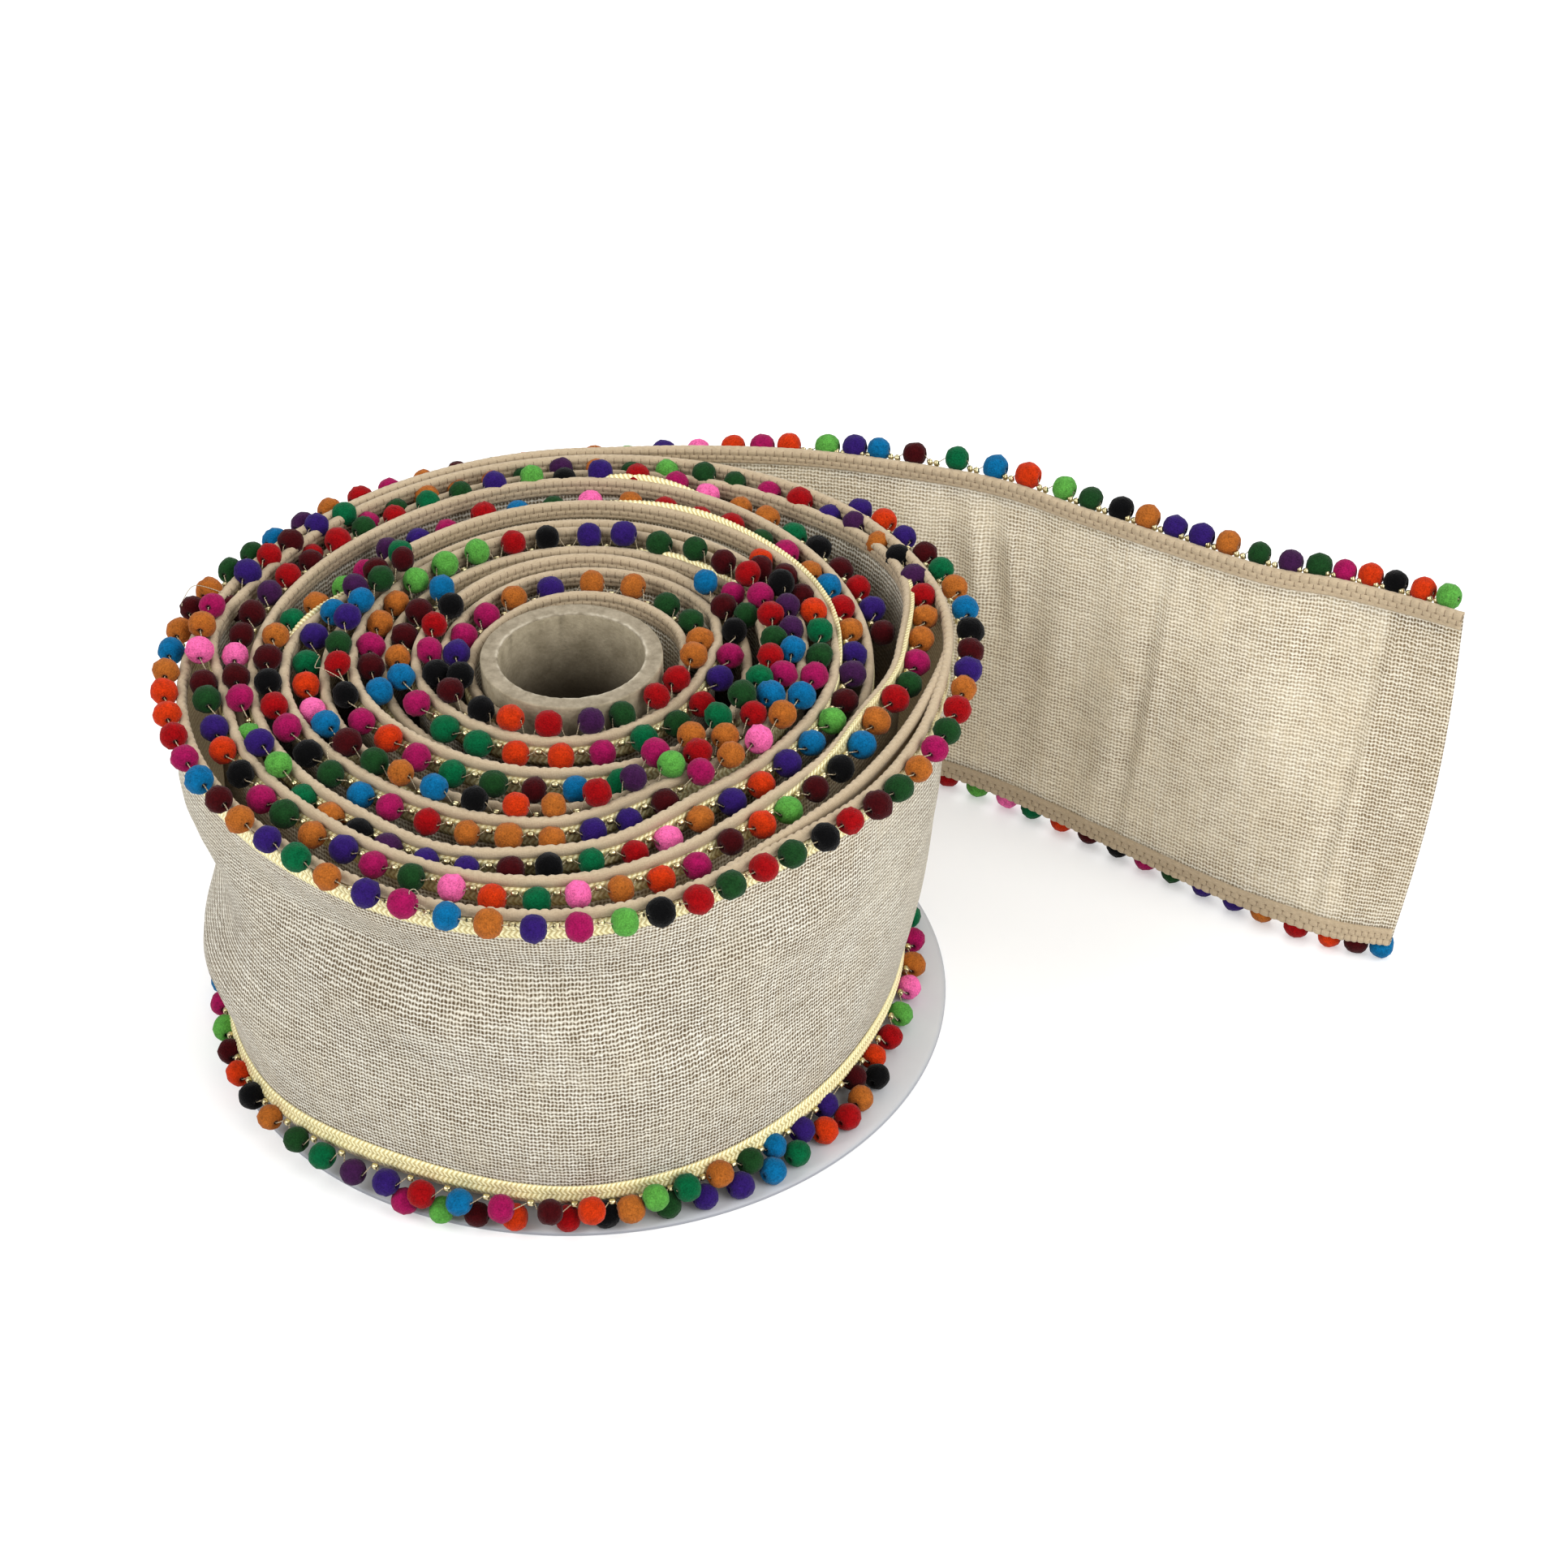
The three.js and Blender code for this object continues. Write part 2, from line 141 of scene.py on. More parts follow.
FOOT_LIFTS = columns(
    "turn angle up reach",
    [1, 243, 3.2, 32],
    [1, 325, 3.0, 52],
)
FOOT_BENDS = columns(
    "turn angle out reach",
    [1, 338, -3.0, 50],
    [1, 182, -5.6, 45],
)
TAIL = columns(
    "topX topY footX footY lift low high",
    [228.0, 21.6, 217.8, 9.4, 4.4, 0.0, 0.0],
    [212.0, 34.0, 204.0, 13.3, 3.6, 0.4, -0.6],
    [198.0, 40.2, 190.5, 20.4, 3.6, 0.0, 0.6],
    [177.5, 47.2, 172.0, 34.3, 2.5, -0.8, -1.0],
    [136.5, 70.6, 134.0, 64.2, 3.2, 0.8, 1.0],
    [114.8, 84.1, 113.2, 79.5, 3.8, 0.2, 0.0],
    [94.0, 92.9, 93.0, 91.0, 3.4, 0.0, -1.6],
    [61.0, 102.6, 60.5, 100.2, 2.6, 0.0, 0.6],
    [29.5, 106.0, 29.5, 103.2, 2.0, 0.0, 0.0],
    [0.0, 105.2, 0.0, 102.0, 1.8, 0.0, 0.0],
)
print(len(TURNS["lift"]), "turns and a loose end in", len(TAIL["lift"]), "sections")

# %% [markdown]
# A Catmull-Rom curve passes through every value of a table, which suits a springy wired hem better than
# straight steps. Numpy reads it for thousands of places at once, so the whole path is a few array sums.

# %% Read the path
def read_curve(values, position):
    """A smooth curve through evenly spaced values, read at any positions between them."""
    last = len(values) - 1
    start = np.minimum(np.floor(position).astype(int), last - 1)
    share = position - start
    before, first = values[np.maximum(start - 1, 0)], values[start]
    second, after = values[start + 1], values[np.minimum(start + 2, last)]
    leave, arrive = (second - before) / 2, (after - first) / 2
    squared, cubed = share ** 2, share ** 3
    return (first * (2 * cubed - 3 * squared + 1) + leave * (cubed - 2 * squared + share)
            + second * (3 * squared - 2 * cubed) + arrive * (cubed - squared))


def smoothstep(low, high, value):
    share = np.clip((value - low) / (high - low), 0, 1)
    return share * share * (3 - 2 * share)


COMPASS = "back backLeft left frontLeft front frontRight right backRight".split()
COMPASS_STEP = 360 / len(COMPASS)
HEM_RADII = np.stack([TURNS[point] for point in COMPASS], 1).ravel()


def humps(table, angle):
    """The sum of the soft humps that rows of (turn, angle, size, reach) make."""
    total = np.zeros(len(angle))
    for turn, centre, size, reach in zip(*table.values()):
        away = np.abs(angle - (centre + 360 * (turn - 1)))
        total += np.where(away < reach, size * 0.5 * (1 + np.cos(np.pi * away / reach)), 0)
    return total


def hem_radius(angle):
    return read_curve(HEM_RADII, (angle - FIRST_ANGLE) / COMPASS_STEP) + humps(HEM_BENDS, angle)


def round_the_roll(values, angle):
    """Eight values that start at the back and go by the left, read all the way round."""
    closed = np.concatenate([values, values[:2]])
    return read_curve(closed, ((angle - FIRST_ANGLE) % 360) / COMPASS_STEP)


def turn_and_share(angle):
    """Which turn each angle lies on, counted from the outside, and how far round that turn it is."""
    wound = (angle - FIRST_ANGLE) / 360
    turn = np.floor(wound).astype(int)
    return turn, wound - turn


def foot_radius(angle):
    sizes = np.append(TURNS["foot"], INNERMOST_FOOT)
    turn, share = turn_and_share(angle)
    size = sizes[turn] + (sizes[turn + 1] - sizes[turn]) * share
    return round_the_roll(OUTER_WALL["foot"], angle) * size + humps(FOOT_BENDS, angle)


def turn_lift(angle):
    turn, share = turn_and_share(angle)
    here = TURNS["lift"][turn]
    after = TURNS["lift"][np.minimum(turn + 1, len(TURNS["lift"]) - 1)]
    return here + (after - here) * smoothstep(LIFT_STARTS, 1, share)


print("upper hem from", HEM_RADII.max(), "down to", HEM_RADII.min(), "mm from the axis")

# %% [markdown]
# Now the tables are read at even steps, the loose end first and then the turns, and joined into one path. The
# cloth has one width everywhere, so an edge that stands further in or out also stands a little lower.

# %% Join the loose end and the turns
TAIL_SAMPLES = 600
DEGREES_A_SAMPLE = 0.25
tail_at = np.linspace(0, len(TAIL["lift"]) - 1, TAIL_SAMPLES, endpoint=False)
angles = np.arange(FIRST_ANGLE, LAST_ANGLE, DEGREES_A_SAMPLE)
winding = np.radians(angles)
ring = np.stack([np.cos(winding), np.sin(winding)], 1)
first_turn = angles < FIRST_ANGLE + 360


def joined(tail_column, wound_values):
    return np.concatenate([read_curve(TAIL[tail_column], tail_at), wound_values])


def lengths(line):
    """How far along a line of points each point lies."""
    return np.concatenate([[0], np.cumsum(np.linalg.norm(np.diff(line, axis=0), axis=1))])


wound_top = ring * hem_radius(angles)[:, None]
wound_foot = ring * foot_radius(angles)[:, None]
top = np.stack([joined("topX", wound_top[:, 0]), joined("topY", wound_top[:, 1])], 1)
foot = np.stack([joined("footX", wound_foot[:, 0]), joined("footY", wound_foot[:, 1])], 1)
seat_z = FLANGE_TOP + SEAT_GAP + joined("lift", turn_lift(angles))
dip = np.concatenate([np.zeros(TAIL_SAMPLES), humps(HEM_DIPS, angles)])
wound_rise = first_turn * round_the_roll(OUTER_WALL["rise"], angles) + humps(FOOT_LIFTS, angles)
rise = np.concatenate([np.zeros(TAIL_SAMPLES), wound_rise])
top_z = seat_z + np.sqrt(RIBBON_WIDTH ** 2 - ((top - foot) ** 2).sum(1)) - dip
foot_z = seat_z + rise
PATH = {
    "top": np.column_stack([top, top_z]),
    "foot": np.column_stack([foot, foot_z]),
    "low": joined("low", first_turn * round_the_roll(OUTER_WALL["low"], angles)),
    "high": joined("high", first_turn * round_the_roll(OUTER_WALL["high"], angles)),
    "angle": np.concatenate([np.full(TAIL_SAMPLES, FIRST_ANGLE - 1.0), angles]),
}
WALKED = lengths(PATH["top"])
LENGTH = WALKED[-1]
TAIL_LENGTH = WALKED[TAIL_SAMPLES]
FIRST_TURN_END = np.interp(FIRST_ANGLE + 360, PATH["angle"], WALKED)
print("ribbon length", round(LENGTH), "mm, loose end", round(TAIL_LENGTH), "mm")

# %% [markdown]
# Every trim follows the ribbon, so one class answers where the ribbon is after a given walk from its cut end:
# its edges, the way it runs, and the way its outer face looks. Anything sewn on is placed from that.

# %% Places along the ribbon
def unit(vectors):
    """The same directions, each of length one."""
    return vectors / np.linalg.norm(vectors, axis=1, keepdims=True)


class Places:
    """The ribbon at given distances from its cut end, measured along the upper edge."""

    def __init__(self, walked):
        self.walked = np.asarray(walked, float)
        self.top = self.read(PATH["top"])
        self.foot = self.read(PATH["foot"])
        self.low, self.high = self.read(PATH["low"]), self.read(PATH["high"])
        self.angle = self.read(PATH["angle"])
        middle = (PATH["top"] + PATH["foot"]) / 2
        run = np.gradient(middle[:, :2], WALKED, axis=0)
        self.along = unit(self.read(np.column_stack([run, np.zeros(len(run))])))
        self.rise = unit(self.top - self.foot)
        self.face = unit(np.cross(self.along, self.rise))

    def read(self, values):
        if values.ndim == 1:
            return np.interp(self.walked, WALKED, values)
        return np.stack([np.interp(self.walked, WALKED, column) for column in values.T], 1)

    def beside(self, upper, out, up):
        """Points beside an edge: out from the middle of the cloth and up from the edge."""
        edge = self.top if upper else self.foot
        return edge + self.face * np.reshape(out, (-1, 1)) + self.rise * np.reshape(up, (-1, 1))

    def carried(self, upper, out, up):
        """A profile carried along an edge, where up is away from the middle of the ribbon."""
        edge, rise = (self.top, self.rise) if upper else (self.foot, -self.rise)
        return edge[:, None] + self.face[:, None] * out[..., None] + rise[:, None] * up[..., None]

    def measured(self, across, flag):
        """The measures of a carried profile: how far along, how far across, and a flag."""
        walked = np.broadcast_to(self.walked[:, None], across.shape)
        return np.stack([walked, across, np.broadcast_to(flag, across.shape)], -1)


def steps(*stretches):
    """Distances along the ribbon, from stretches of (start, end, step)."""
    return np.concatenate([np.arange(start, end, step) for start, end, step in stretches])


print("at the cut end the cloth faces", Places([0.0]).face.round(2))

# %% [markdown]
# Thousands of points are too many for one face at a time, so a small gatherer takes whole arrays of points
# and triangles and hands them to the mesh in one go. Each point also keeps its measures on the piece: how far
# along the ribbon, how far across, and a flag. From these the materials draw weave and stitches to size.

# %% Make meshes from arrays
class Gatherer:
    def __init__(self):
        self.points, self.faces, self.measures, self.count = [], [], [], 0

    def add(self, points, faces, measures):
        self.points.append(points.reshape(-1, 3))
        self.measures.append(np.broadcast_to(measures, points.shape).reshape(-1, 3))
        self.faces.append(faces.reshape(-1, 3) + self.count)
        self.count += len(self.points[-1])

    def make(self, name, finish, slot, replaced=()):
        points = np.concatenate(self.points) * MM
        faces = np.concatenate(self.faces)
        mesh = bpy.data.meshes.new(name)
        mesh.vertices.add(len(points))
        mesh.vertices.foreach_set("co", points.ravel())
        mesh.loops.add(faces.size)
        mesh.loops.foreach_set("vertex_index", faces.ravel())
        mesh.polygons.add(len(faces))
        mesh.polygons.foreach_set("loop_start", np.arange(0, faces.size, 3))
        measures = mesh.attributes.new("measures", "FLOAT_VECTOR", "POINT")
        measures.data.foreach_set("vector", np.concatenate(self.measures).ravel())
        mesh.update(calc_edges=True)
        mesh.shade_smooth()
        mesh.materials.append(finish)
        piece = bpy.data.objects.new(name, mesh)
        bpy.context.scene.collection.objects.link(piece)
        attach(piece, "root")
        if replaced:
            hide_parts(*replaced)
        print(name, len(faces), "triangles")
        return piece


def grid_faces(rows, ring_size, closed):
    """Triangles between rows of points, each row a strip, or a loop if closed."""
    here = np.arange(ring_size if closed else ring_size - 1)
    after = (here + 1) % ring_size
    start = np.arange(rows - 1)[:, None] * ring_size
    a, b = start + here, start + after
    c, d = b + ring_size, a + ring_size
    halves = np.stack([a, b, c], -1), np.stack([a, c, d], -1)
    return np.concatenate([half.reshape(-1, 3) for half in halves])


def loft(gatherer, loops, measures):
    """Adds a closed body: loops of points one after another, each end shut by a ladder across the loop."""
    rows, size = loops.shape[:2]
    faces = grid_faces(rows, size, True)
    a = np.arange((size - 1) // 2)
    b, c, d = a + 1, size - 2 - a, size - 1 - a
    ladder = np.concatenate([np.stack([a, c, b], 1)[b < c], np.stack([a, d, c], 1)])
    far_ladder = ladder[:, ::-1] + (rows - 1) * size
    gatherer.add(loops, np.concatenate([faces, ladder, far_ladder]), measures)


print("a strip of 2 rows of 3 points has", len(grid_faces(2, 3, False)), "triangles")

# %% [markdown]
# A finish is a material. Its sums are written as plain Python: a Wire stands for one value in the shader, and
# adding or multiplying wires adds the Math nodes. Colours are mixed by Mix nodes, since Math would grey them.

# %% Write shaders as sums
def joins(operation, swapped=False):
    """A method that joins a wire, and whatever it is given, by one Math node."""
    def method(self, *others):
        values = (*others, self) if swapped else (self, *others)
        return self.finish.node("ShaderNodeMath", {"operation": operation}, values)
    return method


class Wire:
    """One output of a node, with arithmetic that adds Math nodes to the same finish."""

    def __init__(self, finish, socket):
        self.finish, self.socket = finish, socket

    __add__ = __radd__ = joins("ADD")
    __sub__, __rsub__ = joins("SUBTRACT"), joins("SUBTRACT", swapped=True)
    __mul__, __pow__ = joins("MULTIPLY"), joins("POWER")
    __lt__, __gt__ = joins("LESS_THAN"), joins("GREATER_THAN")
    __abs__, fraction, most = joins("ABSOLUTE"), joins("FRACT"), joins("MAXIMUM")
    sine, cosine = joins("SINE"), joins("COSINE")

    def ridge(self):
        """A wave that is 0 at whole numbers and 1 half way between them."""
        return 0.5 - (self * (2 * math.pi)).cosine() * 0.5

    def clamped(self):
        return self.finish.node("ShaderNodeClamp", {}, [self])


print("a wire can be added, multiplied, compared and made into waves")

# %% [markdown]
# The finish itself keeps the node tree and the shader. It hands out wires for the stored measures, for noise
# and for blends of two colours, and at the end it joins the colour and a bump height to the shader.

# %% Gather a finish
class Finish:
    """A material in the making: its node tree, its shader, and the measures stored on the mesh."""

    def __init__(self, name, **constants):
        self.material = bpy.data.materials.new(name)
        self.material.use_nodes = True
        self.tree = self.material.node_tree
        self.shader = self.tree.nodes["Principled BSDF"]
        for socket, value in constants.items():
            self.feed(self.shader.inputs[socket.replace("_", " ")], value)

    def feed(self, socket, value):
        if isinstance(value, Wire):
            self.tree.links.new(value.socket, socket)
        else:
            socket.default_value = value

    def node(self, kind, settings, inputs, output=0):
        made = self.tree.nodes.new(kind)
        for setting, value in settings.items():
            setattr(made, setting, value)
        pairs = inputs.items() if isinstance(inputs, dict) else enumerate(inputs)
        for socket, value in pairs:
            self.feed(made.inputs[socket], value)
        return Wire(self, made.outputs[output])

    def measures(self):
        """How far along, how far across, and the flag kept at each point."""
        stored = self.node("ShaderNodeAttribute", {"attribute_name": "measures"}, {}, "Vector")
        return [self.node("ShaderNodeSeparateXYZ", {}, [stored], axis) for axis in range(3)]

    def at(self, x, y, z=0.0):
        return self.node("ShaderNodeCombineXYZ", {}, [x, y, z])

    def place(self):
        return self.node("ShaderNodeTexCoord", {}, {}, "Object")

    def noise(self, vector, scale, detail=2.0):
        return self.node("ShaderNodeTexNoise", {}, {"Vector": vector, "Scale": scale, "Detail": detail})

    def blend(self, factor, first, second):
        return self.node("ShaderNodeMix", {"data_type": "RGBA"}, {0: factor, 6: first, 7: second}, 2)

    def finish(self, colour, height=None, depth=0.0001, strength=1.0, **links):
        self.feed(self.shader.inputs["Base Color"], colour)
        for socket, value in links.items():
            self.feed(self.shader.inputs[socket], value)
        if height is not None:
            raised = {"Strength": strength, "Distance": depth, "Height": height}
            self.feed(self.shader.inputs["Normal"], self.node("ShaderNodeBump", {}, raised))
        return self.material

    def glow_through(self, share, colour):
        """Lets part of the light that falls on the far side come through, as thin cloth does."""
        glow = self.node("ShaderNodeBsdfTranslucent", {}, {"Color": colour}, "BSDF")
        mixed = self.node("ShaderNodeMixShader", {}, [share, Wire(self, self.shader.outputs["BSDF"]), glow])
        self.feed(self.tree.nodes["Material Output"].inputs["Surface"], mixed)


def shade(red, green, blue):
    """A colour as a screen shows it, from 0 to 255, turned into light."""
    def light(value):
        value = value / 255
        return value / 12.92 if value <= 0.04045 else ((value + 0.055) / 1.055) ** 2.4
    return (light(red), light(green), light(blue), 1.0)


print("shader sums ready")

# %% [markdown]
# The cloth is an open plain weave. Seen close, pale wavy yarns run along the ribbon in rows a millimetre
# apart, and between two rows and two crossing yarns a small brown hole shows. So the rows and the crossing
# yarns are two waves, the hole is where both are low, and slow noise makes yarns slubby, rows uneven and some
# holes wider. On the wound turns, where the cloth is pulled taut, rows and holes are a little wider too.

# %% Finish of the cloth
ROW_PITCH = 1.1
YARN_PITCH = 0.95
YARN_WAVE = 0.1
OPEN_STRIP = 21.0
ROWS_WIDENED_BY = 0.13
TAIL_SHADE_REACH = 230
SHADE_STARTS = 8
SHADE_REACH = 14


def woven_cloth():
    cloth = Finish("ribbon_cloth", Roughness=0.9, Sheen_Weight=0.1, Sheen_Roughness=0.5,
                   Specular_IOR_Level=0.2)
    along, across, inner_face = cloth.measures()
    taut = ((along - TAIL_LENGTH) * 0.01).clamped()
    wander = cloth.noise(cloth.at(along, across), 0.22)
    yarn_at = along * (1 / YARN_PITCH) + (wander - 0.5) * 1.2
    weave = (yarn_at * math.pi).sine()
    uneven = cloth.noise(cloth.at(along * 0.3, across * 0.8), 1.0) - 0.5
    row_at = across * ((1 - taut * ROWS_WIDENED_BY) * (1 / ROW_PITCH)) + weave * YARN_WAVE
    row_at = row_at + (wander - 0.5) * 0.8 + uneven * 0.85
    row, yarn = row_at.ridge(), yarn_at.ridge()
    slub_along = cloth.noise(cloth.at(along * 0.05, across * 1.2), 1.0, 3.0)
    slub_across = cloth.noise(cloth.at(along * 1.2, across * 0.03), 1.0, 3.0)
    cloudy = cloth.noise(cloth.at(along, across), 0.05, 4.0)
    patchy = cloth.noise(cloth.at(along, across), 0.16, 3.0)
    strip = (OPEN_STRIP - along).clamped()
    calm = cloth.noise(cloth.at(along, across), 0.028, 1.0)
    wide = slub_along * 0.5 + slub_across * 0.6 + patchy * 0.9 + calm * 0.8 - 0.65
    wide = wide + strip * 0.34 + taut * 0.35
    hole = ((1 - row) * (1 - yarn * 0.9)) ** 0.7 * wide
    # Painted highlight and painted shade: yarn crowns are lighter and the gaps between rows darker; the slub
    # noise is the yarn's own uneven tone.
    lit = (row * 0.5 + yarn * 0.22 + (slub_across - 0.5) * 1.1 + (slub_along - 0.5) * 0.4 + 0.22).clamped()
    thread = cloth.blend(lit, shade(196, 184, 158), shade(255, 252, 238))
    thread = cloth.blend(((cloudy - 0.45) * 1.2).clamped(), thread, shade(232, 219, 190))
    # Painted shade: the loose end darkens towards its cut end, with none at the root.
    thread = cloth.blend((1 - along * (1 / TAIL_SHADE_REACH)).clamped() * 0.15, thread, shade(206, 190, 160))
    colour = cloth.blend((hole * 1.2).clamped(), thread, shade(92, 74, 50))
    # Painted shade: below the hems, the inner turns and the outer turn's inner face darken towards the foot,
    # deep between the wound turns.
    wound = ((along - TAIL_LENGTH - 15) * 0.05).clamped()
    inner_turn = ((along - FIRST_TURN_END - 10) * 0.05).clamped()
    deep = ((RIBBON_WIDTH - SHADE_STARTS - across) * (1 / SHADE_REACH)).clamped()
    colour = cloth.blend(wound * inner_face.most(inner_turn) * deep * 0.75, colour, shade(52, 42, 30))
    cloth.glow_through(0.3, shade(240, 226, 200))
    return cloth.finish(colour, row + yarn * 0.6 + slub_along * 0.5, depth=0.0002, strength=0.6)


CLOTH = woven_cloth()
print("cloth rows", ROW_PITCH, "mm apart")

# %% [markdown]
# The cloth itself is a closed sheet half a millimetre thick, laid over the tables' path. Between its two
# edges the wall swells and sinks, so the height across it is a curve too, and a short list of folds adds the
# creases that the wired hems force on it: each is a soft ridge or trough with its own place, reach and slant.

# %% Folds of the cloth
FOLDS = columns(
    "walked height reach tall slant out",
    [21.5, 53, 1.3, 90, -0.11, -0.8],
    [24.5, 53, 1.6, 90, -0.11, 0.8],
    [82, 55, 2.0, 40, -0.087, -0.9],
    [86, 50, 2.2, 46, -0.087, 1.3],
    [94, 45, 4.0, 60, -0.08, -0.7],
    [104, 60, 4.5, 50, -0.06, 0.8],
    [114, 50, 4.0, 40, -0.04, -0.7],
    [122, 60, 4.0, 40, -0.02, 0.7],
    [128, 76, 2.2, 16, 0.12, -1.5],
    [133, 74, 2.4, 20, 0.12, 1.8],
    [139, 78, 2.2, 18, 0.10, -1.7],
    [146, 76, 3.0, 24, 0.10, 1.3],
    [160, 76, 5.0, 22, 0.05, -1.2],
    [422, 54, 26, 17, 0.10, -4.0],
    [425, 75, 26, 18, 0.0, 6.4],
    [425, 44, 26, 12, 0.0, -1.6],
    [425, 28, 26, 12, 0.0, 3.4],
    [452, 30, 26, 12, 0.20, 2.0],
    [455, 72, 22, 12, 0.20, 1.4],
    [505, 76, 40, 8.0, -0.2, -3.4],
    [520, 58, 34, 9.0, -0.3, 2.6],
    [535, 36, 30, 12, 0.20, -2.2],
    [562, 78, 44, 9.0, 0.0, -2.0],
    [570, 58, 15, 24, -1.6, 2.0],
    [600, 46, 15, 24, -1.6, -2.0],
    [625, 70, 26, 10, 0.30, 2.4],
    [640, 40, 22, 14, -0.4, -2.6],
    [690, 70, 16, 20, 0.30, 2.0],
)
FLAT_MARGIN = 14
CLOTH_HALF = 0.25
END_BOW = 2.8


def fold(places, height):
    """How far the folds push the cloth out, at every place and height."""
    out = np.zeros((len(places.walked), len(height)))
    for walked, centre, reach, tall, slant, size in zip(*FOLDS.values()):
        drop = height[None, :] - centre
        side = (places.walked[:, None] - walked - slant * drop) / reach
        out += size * np.exp(-side ** 2 - (drop / tall) ** 2)
    edge = smoothstep(0, FLAT_MARGIN, height) * smoothstep(0, FLAT_MARGIN, RIBBON_WIDTH - height)
    return out * edge


def wall(places, height, offset):
    """Points of the cloth at given heights across it, pushed out from the middle of its thickness."""
    level = height / RIBBON_WIDTH
    flat = np.zeros(len(places.walked))
    shape = np.stack([flat, places.low, places.high, flat])
    swell = np.stack([read_curve(shape, np.full(1, share * 3))[0] for share in level], 1)
    swell = swell + fold(places, height) + offset
    line = places.foot[:, None] + (places.top - places.foot)[:, None] * level[None, :, None]
    bow = END_BOW * np.sin(np.pi * level) * np.clip(1 - places.walked / OPEN_STRIP, 0, 1)[:, None]
    return line + places.face[:, None] * swell[:, :, None] - places.along[:, None] * bow[:, :, None]


print(len(FOLDS["out"]), "folds")

# %% [markdown]
# The sheet is built as loops, up the outside and down the inside, one after another along the ribbon. It has
# twice as many loops on the loose end and the outer turn, which are seen close up, as on the turns inside.

# %% Cloth
EDGE_INSET = 0.6
BODY_INSET = 4
body_heights = np.linspace(BODY_INSET, RIBBON_WIDTH - BODY_INSET, 18)
cloth_heights = np.concatenate([[EDGE_INSET], body_heights, [RIBBON_WIDTH - EDGE_INSET]])
cloth_places = Places(steps((0, FIRST_TURN_END, 1.6), (FIRST_TURN_END, LENGTH, 3.2)))
outside = wall(cloth_places, cloth_heights, CLOTH_HALF)
inside = wall(cloth_places, cloth_heights, -CLOTH_HALF)[:, ::-1]
cloth_loops = np.concatenate([outside, inside], 1)
both_heights = np.concatenate([cloth_heights, cloth_heights[::-1]])
on_inner_face = np.arange(len(both_heights)) >= len(cloth_heights)
across_loops = np.broadcast_to(both_heights, cloth_loops.shape[:2])
cloth_mesh = Gatherer()
loft(cloth_mesh, cloth_loops, cloth_places.measured(across_loops, on_inner_face))
ribbon_cloth = cloth_mesh.make("ribbon_cloth", CLOTH, "ribbon_cloth", ["ribbon"])

# %% [markdown]
# Each long edge is a hem: the cloth is rolled over a thin wire and stitched down in two ridges on the inner
# face. Its material has fine wrap lines, fibres and, on the inner face, the brown thread of the stitches: a
# dash at each stitch, and above it a thin dark line of painted shade where the stitch pinches the hem. The
# two ridges are sewn half a stitch apart.

# %% Finish of the hems
STITCH_PITCH = 2.5
RIB_PITCH = 0.62
DASH_LONG, DASH_HIGH, PINCH_SHADE_WIDE = 0.13, 0.16, 0.05
STITCH_LINES = (-2.1, -0.5), (-3.6, -2.4)


def hem_tape():
    tape = Finish("hem_tape", Roughness=0.85, Sheen_Weight=0.1, Specular_IOR_Level=0.25)
    along, across, inner = tape.measures()
    ribs = (along * (1 / RIB_PITCH) + across * 0.3).ridge()
    fibre = tape.noise(tape.at(along * 0.6, across * 3.0), 1.6, 3.0)
    slow = tape.noise(tape.at(along * 0.05, across * 0.4), 1.0)
    pale = (fibre + slow * 0.5 - 0.25).clamped()
    colour = tape.blend(pale, shade(146, 128, 101), shade(188, 170, 143))
    cells = along * (1 / STITCH_PITCH)
    stitches = None
    for (line, top), start in zip(STITCH_LINES, (0.0, 0.5)):
        near_gap = abs((cells + start + 0.5).fraction() - 0.5)
        dash = (near_gap < DASH_LONG) * (abs(across - line) < DASH_HIGH)
        # Painted shade: the thin dark line above each dash stands for the crease where the stitch pinches the
        # hem.
        gap = (near_gap < PINCH_SHADE_WIDE) * (across > line - 0.15) * (across < top)
        mark = dash.most(gap * 0.85)
        stitches = mark if stitches is None else stitches.most(mark)
    stitches = stitches * inner
    colour = tape.blend(stitches * 0.68, colour, shade(94, 73, 50))
    return tape.finish(colour, ribs * 0.25 + fibre - stitches * 1.5, depth=0.00014, strength=0.7)


HEM_TAPE = hem_tape()
print("stitches", STITCH_PITCH, "mm apart")

# %% [markdown]
# The hem is one profile carried along the edge, and its inner side is drawn in at every stitch, which pinches
# the ridges into little bricks. At the front right the outer hem has opened into two strips, so a short
# second hem bows away from the edge there and comes back to it.

# %% Hems
HEM_PROFILE = columns(
    "out up pinch sink start",
    [0.42, -5.2, 0.0, 0.0, 0.0],
    [0.50, -2.9, 0.0, 0.0, 0.0],
    [0.82, -2.25, 0.0, 0.0, 0.0],
    [1.02, -1.6, 0.0, 0.0, 0.0],
    [1.00, -0.85, -0.06, 0.0, 0.3],
    [0.66, -0.22, -0.08, 0.05, 0.3],
    [0.05, 0.06, 0.0, 0.10, 0.3],
    [-0.65, 0.12, 0.0, 0.36, 0.0],
    [-1.25, -0.2, 0.2, 0.36, 0.0],
    [-1.62, -0.9, 0.25, 0.1, 0.0],
    [-1.55, -1.65, 0.25, 0.0, 0.0],
    [-1.10, -2.1, 0.0, 0.0, 0.0],
    [-1.42, -2.5, 0.26, 0.0, 0.5],
    [-1.46, -3.15, 0.26, 0.0, 0.5],
    [-1.02, -3.6, 0.0, 0.0, 0.0],
    [-1.20, -4.05, 0.2, 0.0, 0.0],
    [-1.00, -4.7, 0.2, 0.0, 0.0],
    [-0.28, -5.2, 0.0, 0.0, 0.0],
)
PINCH_SHARPNESS = 6
OPENED_STRETCH = 596, 716, 0.55
OPENED_BY = 4.6
OPENED_DROP = 0.5


